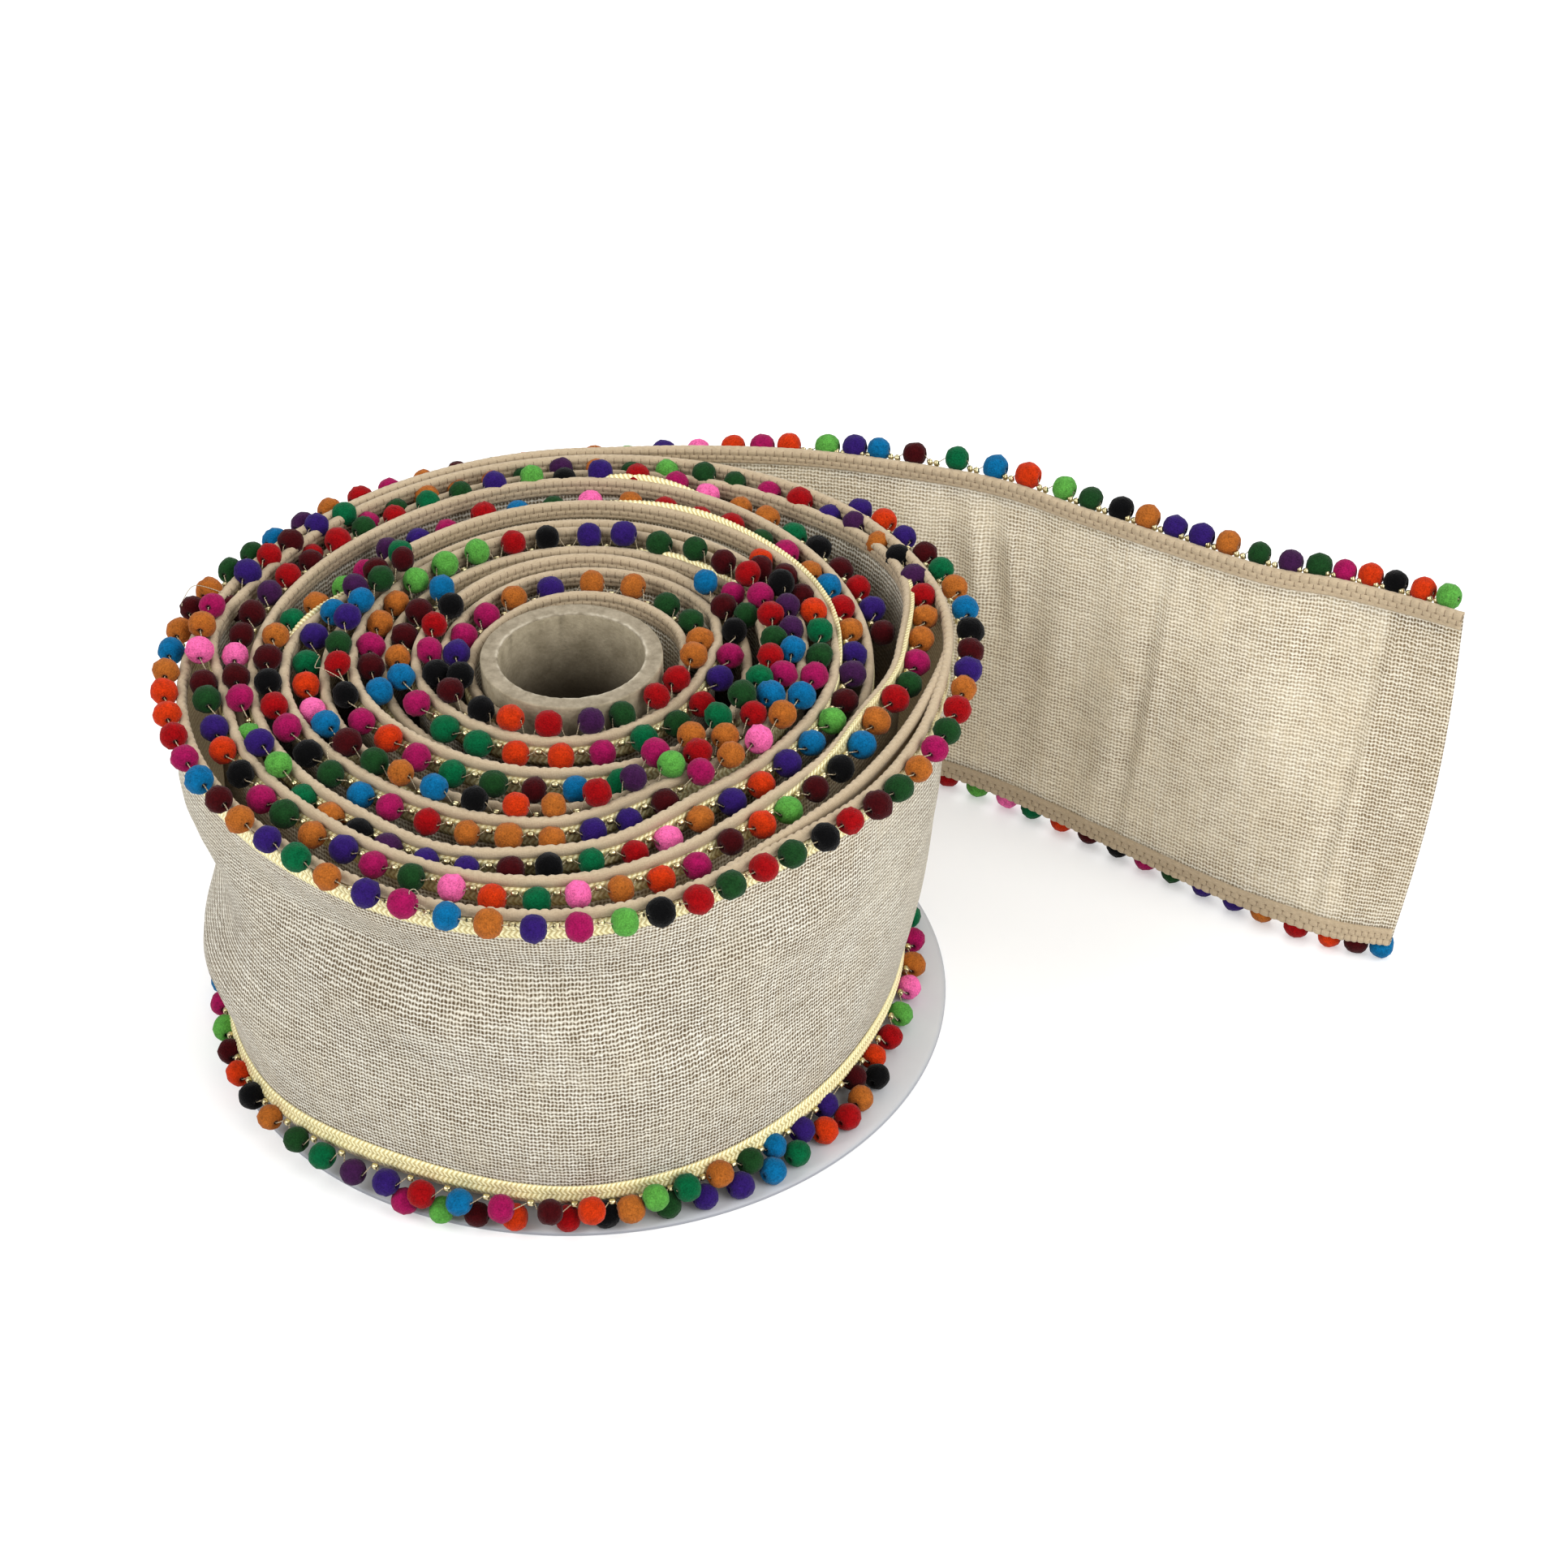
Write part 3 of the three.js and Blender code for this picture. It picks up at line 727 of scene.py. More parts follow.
def hem(name, upper, *stretches, opens=0.0, drop=0.0):
    """A hem along one edge, or a loose layer of it that opens away from the edge and comes back."""
    places = Places(steps(*stretches))
    phase = places.walked[:, None] / STITCH_PITCH + HEM_PROFILE["start"]
    brick = np.abs(np.cos(np.pi * phase)) ** PINCH_SHARPNESS
    out = HEM_PROFILE["out"] + HEM_PROFILE["pinch"] * brick
    up = HEM_PROFILE["up"] - HEM_PROFILE["sink"] * brick
    arch = np.sin(np.linspace(0, np.pi, len(places.walked)))[:, None]
    loops = places.carried(upper, out - opens * arch, up - drop)
    measures = places.measured(up, HEM_PROFILE["out"] < 0)
    if upper:
        loops, measures = loops[:, ::-1], measures[:, ::-1]
    gatherer = Gatherer()
    loft(gatherer, loops, measures)
    return gatherer.make(name, HEM_TAPE, "ribbon_cloth")


hem_upper = hem("hem_upper", True, (0, FIRST_TURN_END, 0.55), (FIRST_TURN_END, LENGTH, 1.0))
hem_lower = hem("hem_lower", False, (0, FIRST_TURN_END, 0.7), (FIRST_TURN_END, LENGTH, 3.5))
hem_opened = hem("hem_opened", True, OPENED_STRETCH, opens=OPENED_BY, drop=OPENED_DROP)

# %% [markdown]
# The gold braid is a flat plait in two bands. In each band the stitches lean in from both sides, like the
# barbs of a feather. Its metal look comes from a partly metallic finish, with a painted highlight on the
# crowns of the stitches and on random glints, painted shade in the gaps, and a darker groove of painted shade
# where two bands meet.

# %% Finish of the braid
PLAIT_PITCH = 1.3
PLAIT_SLANT = 0.7
BAND_WIDTH = 2.5


def gold_plait():
    gold = Finish("gold_plait", Metallic=0.2, Specular_IOR_Level=0.6)
    along, across, _ = gold.measures()
    lean = abs((across * (1 / BAND_WIDTH) + 0.5).fraction() - 0.5) * BAND_WIDTH
    slope = along * (1 / PLAIT_PITCH) + lean * (PLAIT_SLANT / PLAIT_PITCH)
    crown = slope.ridge()
    strands = (slope * 4.0 + across * 0.4).ridge()
    groove = ((0.16 - lean) * 8.0).clamped()
    sparkle = gold.noise(gold.at(along, across), 2.2, 3.0)
    # Painted highlight on the crowns and sparkle glints, painted shade in the gaps; below, painted shade in
    # the groove.
    lit = (crown * 0.9 + strands * 0.25 + sparkle * 0.6 - 0.35).clamped()
    colour = gold.blend(lit, shade(192, 172, 108), shade(255, 248, 200))
    colour = gold.blend(groove * 0.4, colour, shade(168, 146, 88))
    rough = 0.3 + sparkle * 0.3
    return gold.finish(colour, crown + strands * 0.3 - groove, depth=0.00016, strength=0.7, Roughness=rough)


GOLD_PLAIT = gold_plait()
print("plait stitches", PLAIT_PITCH, "mm apart")

# %% [markdown]
# The braid's relief is modelled, since it shows close up: each stitch rises to a crown and makes a small
# scallop at the edge. Where a hem dips or a gap opens, the braid of some turns peeks out a little higher.

# %% Braids
BRAID_MIDDLE = {True: -5.0, False: -4.4}
BRAID_TILT = {True: 0.0, False: 0.14}
BRAID_PEEKS = columns(
    "turn angle up reach",
    [1, 700, 3.4, 34],
    [1, 735, 3.6, 30],
    [3, 440, 3.8, 20],
    [4, 380, 3.6, 40],
    [4, 425, 3.8, 42],
    [7, 380, 3.4, 40],
    [7, 420, 3.6, 36],
    [3, 215, 3.0, 30],
    [5, 160, 3.4, 26],
)
BRAID_HALF = 2.5
BRAID_BACK = 0.3
BRAID_FRONT = 1.15
CROWN_HEIGHT = 0.22
EDGE_DROP = 0.2
GROOVE_DEPTH = 0.12
SCALLOP = 0.08


def braid(gatherer, upper, cells, *stretches):
    """A strip along an edge, its front in cells across with slanted ridges, its back flat on the cloth."""
    places = Places(steps(*stretches))
    across = np.linspace(-1, 1, cells + 1) * BRAID_HALF
    lean = np.abs((across / BAND_WIDTH + 0.5) % 1 - 0.5) * BAND_WIDTH
    slope = places.walked[:, None] / PLAIT_PITCH + lean * (PLAIT_SLANT / PLAIT_PITCH)
    crown = 0.5 - 0.5 * np.cos(2 * np.pi * slope)
    edge = np.abs(across) > BRAID_HALF * 0.99
    groove = np.abs(across) < 0.1
    front = BRAID_FRONT + CROWN_HEIGHT * crown - EDGE_DROP * edge - GROOVE_DEPTH * groove
    front = front + BRAID_TILT[upper] * across
    reach = across * (1 + SCALLOP * crown * edge)
    back = np.array([BRAID_HALF * 0.9, -BRAID_HALF * 0.9])
    size = len(places.walked)
    out = np.concatenate([front, np.full((size, 2), BRAID_BACK)], 1)
    up = np.concatenate([reach, np.broadcast_to(back, (size, 2))], 1)
    peek = humps(BRAID_PEEKS, places.angle) * upper
    loops = places.carried(upper, out, up + BRAID_MIDDLE[upper] + peek[:, None])
    measures = places.measured(up, 0.0)
    if not upper:
        loops, measures = loops[:, ::-1], measures[:, ::-1]
    loft(gatherer, loops, measures)


upper_mesh, lower_mesh = Gatherer(), Gatherer()
braid(upper_mesh, True, 8, (0, FIRST_TURN_END, 0.26))
braid(upper_mesh, True, 4, (FIRST_TURN_END, LENGTH - 2, 0.65))
braid(lower_mesh, False, 6, (0, FIRST_TURN_END, 0.3))
braid(lower_mesh, False, 2, (FIRST_TURN_END, LENGTH - 2, 3.0))
gold_braid_upper = upper_mesh.make("gold_braid_upper", GOLD_PLAIT, "gold_braid", ["braid_upper"])
gold_braid_lower = lower_mesh.make("gold_braid_lower", GOLD_PLAIT, "gold_braid", ["braid_lower"])

# %% [markdown]
# The balls are velvet beads threaded on a cream string that is caught under the braid between them. Where
# they sit depends on the room: on the loose end they stand on the edge, on the outer turn they hang in front
# of the braid, and on inner turns each nests in the groove between its own hem and the next one out.

# %% Where the upper balls sit
BALL_RADIUS = 3.5
BALL_PITCH = 9.6
HEM_ROOM = BALL_RADIUS + 1.25
HEM_CENTRE = (-0.3, -1.2)
ROOT_STRETCH = 150, 262
TAIL_SEAT = 4.0, 1.0
ROOT_SINKS = 7.0
DEEP_TURNS = 4.6, 5.2
BACK_FADE = 0.6
BACK_MOST_UP = -1.0
DIP_OPENS = 1.6
LEAST_HALF = 1.0
TAIL_BALLS = [6, 13, 22, 28, 35, 41, 50, 58, 67, 75, 83, 91, 99, 108, 116, 127, 136, 147, 159, 169, 176, 184,
              194, 202, 210, 219]
OUTER_STRETCHES = (228.5, 457, 9.53), (458, 575, 9.83), (576, FIRST_TURN_END - 4, 8.86)
WALK_JITTER, OUT_JITTER, UP_JITTER, NEST_JITTER = 0.6, 0.2, 0.4, 2.6
MOST_DIP = 2.5
BARE_BACKS = 2, 6, 7, 9, 10
BARE_REACH = 40
SEATS = columns(
    "out up inner",
    [3.6, -6.5, -3.2],
    [3.8, -3.0, -2.6],
    [3.6, 0.5, -0.2],
    [2.9, 1.7, -2.2],
    [4.6, -0.7, -3.4],
    [4.2, -0.3, -3.2],
    [5.6, -1.8, -2.2],
    [4.5, -2.0, -2.8],
)
draw = np.random.default_rng(7)


def at_back(angle):
    """1 for balls at the back of the roll, 0 at its sides and front."""
    return smoothstep(0, BACK_FADE, np.sin(np.radians(angle)))


def nested_seat(angle):
    """Out and up of a ball on an inner turn: beside its hem, or perched on two hems that are too close."""
    outer = np.maximum(angle - 360, FIRST_ANGLE)
    spacing = hem_radius(outer) - hem_radius(np.maximum(angle, FIRST_ANGLE))
    spacing = spacing + DIP_OPENS * humps(HEM_DIPS, outer)
    half = np.clip(spacing / 2, 0, HEM_ROOM)
    deep_inside = smoothstep(*DEEP_TURNS, (angle - FIRST_ANGLE) / 360)
    perched = HEM_CENTRE[1] + np.sqrt(HEM_ROOM ** 2 - half ** 2)
    held_down = at_back(angle) * (1 - deep_inside) > 0.5
    perched = np.where(held_down, np.minimum(perched, BACK_MOST_UP), perched)
    beside = round_the_roll(SEATS["inner"], angle) * (1 - deep_inside * at_back(angle))
    up = np.where(half < HEM_ROOM, np.maximum(perched, beside), beside)
    away = np.sqrt(np.maximum(HEM_ROOM ** 2 - (up - HEM_CENTRE[1]) ** 2, 0))
    return HEM_CENTRE[0] + np.minimum(away, np.maximum(half, LEAST_HALF)), up


def upper_seats(places):
    """Out and up of every ball on the upper edge."""
    angle = places.angle
    on_tail = angle < FIRST_ANGLE
    inside = angle >= FIRST_ANGLE + 360
    near_root = smoothstep(*ROOT_STRETCH, places.walked)
    out = np.where(on_tail, TAIL_SEAT[0], round_the_roll(SEATS["out"], angle))
    up = np.where(on_tail, TAIL_SEAT[1] - ROOT_SINKS * near_root, round_the_roll(SEATS["up"], angle))
    nest_out, nest_up = nested_seat(angle)
    return np.where(inside, nest_out, out), np.where(inside, nest_up, up)


front_seat = [round(float(part[0]), 1) for part in nested_seat(np.array([630.0]))]
print("a ball at the front of the second turn sits out and up by", front_seat, "mm")

# %% [markdown]
# Each ball's distance along the ribbon is set on the loose end and evenly spaced elsewhere, then shifted a
# little at random. Balls that would be squeezed down between two hems, where none can be seen, are left out.

# %% Seat the upper balls
inner_stretch = FIRST_TURN_END + 5, LENGTH - 8, BALL_PITCH
ball_walks = np.concatenate([TAIL_BALLS, steps(*OUTER_STRETCHES, inner_stretch)])
ball_walks = ball_walks + draw.uniform(-WALK_JITTER, WALK_JITTER, len(ball_walks))
ball_angles = np.maximum(Places(ball_walks).angle, FIRST_ANGLE)
sunk = humps(HEM_DIPS, ball_angles) > MOST_DIP
for turn in BARE_BACKS:
    sunk |= np.abs(ball_angles - FIRST_ANGLE - 360 * (turn - 1)) < BARE_REACH
ball_walks = ball_walks[~sunk]
upper_places = Places(ball_walks)
seat_out, seat_up = upper_seats(upper_places)
seat_out = seat_out + draw.uniform(-OUT_JITTER, OUT_JITTER, len(ball_walks))
nested = upper_places.angle >= FIRST_ANGLE + 360
seat_up = seat_up + draw.uniform(-UP_JITTER, UP_JITTER, len(ball_walks)) * np.where(nested, NEST_JITTER, 1)
upper_balls = upper_places.beside(True, seat_out, seat_up)
print(len(upper_balls), "balls on the upper edge")

# %% [markdown]
# The lower edge has the same trim. On the outer turn its balls splay out over the flange, and at the front a
# second row, from the next turn in, slips out under them. Deeper rows stay hidden under the roll.

# %% Where the lower balls sit
LOWER_SEATS = columns(
    "out z",
    [3.6, 5.0],
    [3.0, 4.8],
    [2.4, 4.7],
    [4.2, 7.8],
    [5.6, 7.5],
    [3.7, 6.0],
    [4.0, 5.0],
    [3.6, 4.8],
)
SECOND_ROW = [516.5, 526.5, 535.5, 545.5, 558.5, 569, 584.5, 594.5, 604.5, 614.5, 623, 633, 641.5, 651.5, 661]
SECOND_ROW_OUT = 4.9
SECOND_ROW_Z = 4.75
TAIL_LOWER_SEAT = 2.4, BALL_RADIUS + 0.25
LEFT_PITCH = 10.3
LEFT_STRETCHES = (4.5, TAIL_LENGTH, 9.4), (421 - 16 * LEFT_PITCH, 554, LEFT_PITCH)
FRONT_BALLS = [557.8, 567.9, 576, 583, 592, 600.5, 610, 618.5]
RIGHT_STRETCH = 630, FIRST_TURN_END - 20, 11.4

lower_walks = np.concatenate([steps(*LEFT_STRETCHES), FRONT_BALLS, steps(RIGHT_STRETCH)])
lower_walks = lower_walks + draw.uniform(-WALK_JITTER, WALK_JITTER, len(lower_walks))
lower_places = Places(lower_walks)
on_tail = lower_places.angle < FIRST_ANGLE
lower_out, lower_z = [
    np.where(on_tail, tail_seat, round_the_roll(LOWER_SEATS[part], lower_places.angle))
    for part, tail_seat in zip(LOWER_SEATS, TAIL_LOWER_SEAT)
]
lower_balls = lower_places.foot + lower_places.face * lower_out[:, None]
lower_balls[:, 2] = lower_z
second_walks = np.array(SECOND_ROW)
second_places = Places(second_walks)
second_balls = second_places.foot + second_places.face * SECOND_ROW_OUT
second_balls[:, 2] = SECOND_ROW_Z
print(len(lower_balls), "balls on the lower edge and", len(second_balls), "in the second row")

# %% [markdown]
# Neighbouring balls touch and press on each other only lightly. A few dozen rounds of gentle pushing settle
# that: any two that are too close move apart, and any ball too near a hem slides off it, while each is drawn
# back to its own seat.

# %% Settle the balls
ROUNDS = 60
PUSH, SLIDE, RETURN = 0.35, 0.12, 0.04
TOUCH = 2 * BALL_RADIUS - 0.1
HEM_TOUCH = HEM_ROOM - 0.15
FLOOR_GAP, FLANGE_GAP = 0.1, 0.05
FLANGE_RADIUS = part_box("spool_flange")[1].x / MM
hem_line = Places(steps((0, LENGTH, 1.5))).beside(True, *HEM_CENTRE)


def lowest(balls):
    """How low each ball can lie: on the floor, or on the flange where it reaches over its rim."""
    beyond = np.clip(np.linalg.norm(balls[:, :2], axis=1) - FLANGE_RADIUS, 0, BALL_RADIUS)
    on_flange = FLANGE_TOP + FLANGE_GAP + np.sqrt(BALL_RADIUS ** 2 - beyond ** 2)
    return np.maximum(BALL_RADIUS + FLOOR_GAP, on_flange)


def push_apart(balls, others, room, share):
    """Moves balls away from other points that lie closer than room."""
    gap = balls[:, None] - others[None]
    far = np.sqrt((gap ** 2).sum(-1)) + 1e-9
    push = np.where((far < room) & (far > 1e-6), (room - far) / far, 0)
    return (gap * push[..., None]).sum(1) * share


def settle(balls, hems=None, free=None):
    seats = balls.copy()
    for _ in range(ROUNDS):
        balls = balls + push_apart(balls, balls, TOUCH, PUSH)
        if hems is not None:
            balls = balls + push_apart(balls, hems, HEM_TOUCH, SLIDE) * free[:, None]
        balls = balls + (seats - balls) * RETURN
        balls[:, 2] = np.maximum(balls[:, 2], lowest(balls))
    print("balls moved by up to", round(float(np.linalg.norm(balls - seats, axis=1).max()), 2), "mm")
    return balls


upper_balls = settle(upper_balls, hem_line, 1 - at_back(upper_places.angle))
all_lower = settle(np.concatenate([lower_balls, second_balls]))
lower_balls, second_balls = all_lower[:len(lower_balls)], all_lower[len(lower_balls):]

# %% [markdown]
# The colours follow no plan, but those that face the camera are set down in the order they have there, and
# the rest are drawn from the same thirteen at random with a fixed seed.

# %% Colours of the balls
BALL_COLOURS = {
    "turquoise": (2, 94, 143),
    "indigo": (40, 19, 92),
    "violet": (54, 20, 60),
    "magenta": (147, 13, 74),
    "maroon": (56, 3, 7),
    "black": (4, 4, 5),
    "red": (143, 4, 9),
    "orange": (188, 45, 7),
    "ochre": (164, 90, 30),
    "fir": (19, 57, 23),
    "emerald": (0, 86, 48),
    "lime": (80, 150, 58),
    "pink": (240, 98, 160),
}
COLOUR_NAMES = list(BALL_COLOURS)
COLOUR_SHARES = np.array([9, 11, 3, 9, 8, 7, 11, 11, 12, 10, 8, 5, 3])
TAIL_UPPER = """lime orange black orange magenta fir violet fir ochre indigo indigo ochre black fir lime
    orange turquoise emerald maroon turquoise indigo lime orange magenta orange pink""".split()
FRONT_UPPER = """turquoise maroon ochre indigo emerald ochre indigo magenta turquoise ochre indigo magenta
    lime black red fir red fir black red maroon fir ochre magenta fir red ochre indigo maroon""".split()
TAIL_LOWER = """turquoise maroon orange red ochre indigo indigo fir magenta black maroon orange emerald pink
    lime red""".split()
FRONT_LOWER = """magenta lime maroon orange black ochre fir emerald violet indigo red turquoise magenta maroon
    orange ochre lime emerald ochre fir turquoise indigo indigo maroon orange red lime pink ochre magenta
    emerald""".split()
SECOND_LOWER = """magenta lime maroon orange red black fir indigo indigo turquoise emerald orange red ochre
    black""".split()
FRONT_UPPER_STARTS = 453
FRONT_LOWER_STARTS = 416


def coloured(balls, walks, *runs):
    """A colour number for each ball: drawn at random, then set along runs of (first distance, names)."""
    chosen = draw.choice(len(COLOUR_NAMES), len(balls), p=COLOUR_SHARES / sum(COLOUR_SHARES))
    for start, names in runs:
        first = int(np.searchsorted(walks, start))
        for index, name in enumerate(names[:len(balls) - first]):
            chosen[first + index] = COLOUR_NAMES.index(name)
    return chosen


upper_colours = coloured(upper_balls, ball_walks, (0, TAIL_UPPER), (FRONT_UPPER_STARTS, FRONT_UPPER))
lower_colours = coloured(lower_balls, lower_walks, (0, TAIL_LOWER), (FRONT_LOWER_STARTS, FRONT_LOWER))
second_colours = coloured(second_balls, second_walks, (0, SECOND_LOWER))
print("colours set for", len(TAIL_UPPER + FRONT_UPPER + TAIL_LOWER + FRONT_LOWER), "balls")

# %% [markdown]
# A velvet ball is soft pile all over, so its finish is rough, dark in the depth of the pile and brighter on
# the tufts, with two sizes of noise for tufts and fuzz. Sheen gives the pile its pale rim. The string holes
# at both ends are painted near black, as painted shade.

# %% Finish of the velvet
def velvet(name, colour):
    pile = Finish("velvet_" + name, Roughness=1.0, Sheen_Weight=0.15, Sheen_Roughness=0.4,
                  Sheen_Tint=tuple(0.6 + 0.4 * part for part in shade(*colour)[:3]) + (1.0,),
                  Specular_IOR_Level=0.05)
    _, _, hole = pile.measures()
    place = pile.place()
    fuzz = pile.noise(place, 2600.0, 3.0)
    tufts = pile.noise(place, 700.0, 2.0)
    deep = shade(*(part * 0.55 for part in colour))
    bright = shade(*(min(part * 1.08 + 6, 255) for part in colour))
    tone = pile.blend((fuzz * 1.3 + tufts * 0.7 - 0.45).clamped(), deep, bright)
    # Painted shade: the rings of the string holes are darkened almost to black.
    tone = pile.blend((hole * 0.92).clamped(), tone, shade(14, 11, 12))
    return pile.finish(tone, fuzz + tufts * 0.6, depth=0.0005, strength=0.65)


VELVETS = {name: velvet(name, colour) for name, colour in BALL_COLOURS.items()}
print(len(VELVETS), "velvets")

# %% [markdown]
# Each ball is a lathe profile turned round the string, with a sunken hole at both ends where the string goes
# in. Every ball has its own size, length and oval, and a little noise makes its surface uneven.

# %% Balls
def mirrored(header, *rows):
    """Columns of a profile whose second half repeats the first, with the axis turned round."""
    return columns(header, *rows, *([-axial, *rest] for axial, *rest in reversed(rows)))


BALL_PROFILE = mirrored(
    "axial radial hole",
    [-0.50, 0.13, 1],
    [-0.80, 0.15, 0.7],
    [-0.92, 0.30, 0],
    [-0.80, 0.61, 0],
    [-0.52, 0.86, 0],
    [-0.18, 0.99, 0],
)
BALL_SIDES = 16
BALL_SIZES, BALL_LENGTHS = (0.95, 1.04), (0.94, 1.04)
BALL_LUMPS, BALL_OVAL = 0.03, 0.05


def string_runs(line):
    """The direction of a string at each point of its line."""
    return unit(np.gradient(line, axis=0))


def round_turn(sides):
    return np.linspace(0, 2 * np.pi, sides, endpoint=False)


def spokes(runs, aside, turn):
    """Directions that stand round each run at given turns, the first of them square to a direction aside."""
    flat = unit(np.cross(runs, aside))
    over = np.cross(flat, runs)
    return flat[:, None] * np.cos(turn)[..., None] + over[:, None] * np.sin(turn)[..., None]


def ball_points(centres, runs):
    """Rings of points round every ball, each ball a little different."""
    count, rings = len(centres), len(BALL_PROFILE["axial"])
    turn = round_turn(BALL_SIDES)
    spin = draw.uniform(0, 6.28, count)[:, None] + turn
    size = BALL_RADIUS * draw.uniform(*BALL_SIZES, count)
    lump = 1 + draw.normal(0, BALL_LUMPS, (count, rings, BALL_SIDES))
    oval = 1 + draw.uniform(-BALL_OVAL, BALL_OVAL, (count, 1, 1)) * np.cos(2 * turn)
    radial = BALL_PROFILE["radial"][None, :, None] * size[:, None, None] * lump * oval
    axial = BALL_PROFILE["axial"][None, :] * (size * draw.uniform(*BALL_LENGTHS, count))[:, None]
    side = spokes(runs, [0, 0, 1.0], spin)
    return (centres[:, None, None] + runs[:, None, None] * axial[:, :, None, None]
            + side[:, None] * radial[..., None])


def add_balls(gatherers, centres, colours):
    points = ball_points(centres, string_runs(centres))
    measures = np.zeros(points.shape[1:])
    # The hole flag marks the rings where the velvet paints shade into the string holes.
    measures[..., 2] = BALL_PROFILE["hole"][:, None]
    for loops, colour in zip(points, colours):
        loft(gatherers[colour], loops, measures)


ball_meshes = [Gatherer() for _ in COLOUR_NAMES]
for balls, colours in (
    (upper_balls, upper_colours),
    (lower_balls, lower_colours),
    (second_balls, second_colours),
):
    add_balls(ball_meshes, balls, colours)
velvet_balls = [
    gatherer.make("velvet_balls_" + name, VELVETS[name], "gold_braid")
    for name, gatherer in zip(COLOUR_NAMES, ball_meshes)
]

# %% [markdown]
# Between two balls the string dips back to the braid and passes through one or two small metal beads, which
# are sewn there. The beads are plain metal with duller patches, and the string is a twisted cream yarn whose
# ply is a wave that winds round it.

# %% Finish of beads and string
def bead_metal():
    metal = Finish("bead_metal", Metallic=1.0)
    patches = metal.noise(metal.place(), 900.0, 2.0)
    colour = metal.blend((patches * 1.6 - 0.3).clamped(), shade(150, 136, 96), shade(238, 226, 180))
    return metal.finish(colour, Roughness=0.18 + patches * 0.25)


def cream_string():
    string = Finish("cream_string", Roughness=0.7, Sheen_Weight=0.2)
    along, across, _ = string.measures()
    ply = (along * 9.0 + across * 6.28).sine() * 0.5 + 0.5
    colour = string.blend(ply, shade(134, 118, 90), shade(186, 171, 140))
    return string.finish(colour, ply, depth=0.00008, strength=0.6)


BEAD_METAL, CREAM_STRING = bead_metal(), cream_string()
print("metal and string ready")

# %% [markdown]
# Every bead is a short ring with a hole along it, and the string is a fine tube along a line of points.

# %% Rings and tubes
BEAD_PROFILE = mirrored(
    "axial radial",
    [-0.75, 0.30],
    [-0.85, 0.55],
    [-0.55, 0.80],
)
BEAD_SIDES = 9
TUBE_SIDES = 5
ASKEW = [0.31, 0.17, 0.93]


def add_rings(gatherer, centres, runs):
    """Small turned beads, one for each centre, their holes along the runs."""
    for centre, run, spoke in zip(centres, runs, spokes(runs, ASKEW, round_turn(BEAD_SIDES))):
        loops = (centre + run * BEAD_PROFILE["axial"][:, None, None]
                 + spoke[None] * BEAD_PROFILE["radial"][:, None, None])
        loft(gatherer, loops, 0.0)


def add_tube(gatherer, line, radius):
    """A fine tube along a line of points."""
    turn = round_turn(TUBE_SIDES)
    loops = line[:, None] + spokes(string_runs(line), ASKEW, turn) * radius
    measures = np.zeros(loops.shape)
    measures[..., 0] = lengths(line)[:, None]
    measures[..., 1] = turn / 6.28
    loft(gatherer, loops, measures)


print("a bead is", 2 * BEAD_PROFILE["radial"].max(), "mm across")

# %% [markdown]
# A row is strung from ball to ball. Mostly one bead sits between two balls, held near the braid. On the upper
# edge of the loose end, which is seen close up, two beads stand side by side on the edge.

# %% Strings and beads
STRING_RADIUS = 0.15
LONGEST_STEP = 16
HELD_OUT = 1.9
HELD_DOWN = 2.6
HELD_LOOSE = 0.3
EDGE_DOWN, ROOT_DOWN = 0.1, 5.0
PAIR_SHIFTS = -0.95, 0.95
LEAN_UP, LEAN_ALONG = 0.9, 0.3
BALL_MOUTH = 2.9
BEAD_MOUTH = 0.9


def unbroken(walks):
    """Slices of a row between which balls are left out."""
    breaks = np.flatnonzero(np.diff(walks) > LONGEST_STEP) + 1
    ends = [0, *breaks, len(walks)]
    return [slice(start, end) for start, end in zip(ends, ends[1:]) if end - start > 1]


def string_row(beads, strings, balls, walks, upper):
    """Beads between the balls of one run, and the string through both."""
    between = Places((walks[1:] + walks[:-1]) / 2)
    held = between.beside(upper, HELD_OUT, -HELD_DOWN if upper else HELD_DOWN)
    middle = (balls[1:] + balls[:-1]) / 2
    close = held + (middle - held) * HELD_LOOSE
    paired = (between.angle < FIRST_ANGLE) & upper
    near_root = smoothstep(*ROOT_STRETCH, between.walked)
    on_edge = between.beside(upper, HELD_OUT, -EDGE_DOWN - ROOT_DOWN * near_root)
    close = np.where(paired[:, None], on_edge, close)
    add_rings(beads, close[~paired], between.along[~paired])
    upright = unit(between.rise * LEAN_UP + between.along * LEAN_ALONG)
    for shift in PAIR_SHIFTS:
        add_rings(beads, (close + between.along * shift)[paired], upright[paired])
    ball_ends = string_runs(balls) * BALL_MOUTH
    bead_ends = between.along * BEAD_MOUTH
    line = []
    for index, centre in enumerate(balls):
        line += [centre - ball_ends[index], centre + ball_ends[index]]
        if index < len(close):
            line += [close[index] - bead_ends[index], close[index] + bead_ends[index]]
    add_tube(strings, np.array(line), STRING_RADIUS)


bead_mesh, string_mesh = Gatherer(), Gatherer()
for balls, walks, upper in (upper_balls, ball_walks, True), (lower_balls, lower_walks, False):
    for run in unbroken(walks):
        string_row(bead_mesh, string_mesh, balls[run], walks[run], upper)
braid_beads = bead_mesh.make("braid_beads", BEAD_METAL, "gold_braid")
ball_strings = string_mesh.make("ball_strings", CREAM_STRING, "gold_braid")

# %% [markdown]
# The spool is plain card: a wound tube for a core and one pale disc under the roll. The core's wall is
# mottled, its bore darkens towards the bottom with painted shade and its cut rim has frayed pale spots. The
# disc is smooth.

# %% Finishes of the card
BORE_LIT_DOWN_TO = 107.0
BORE_FADE = 23.0


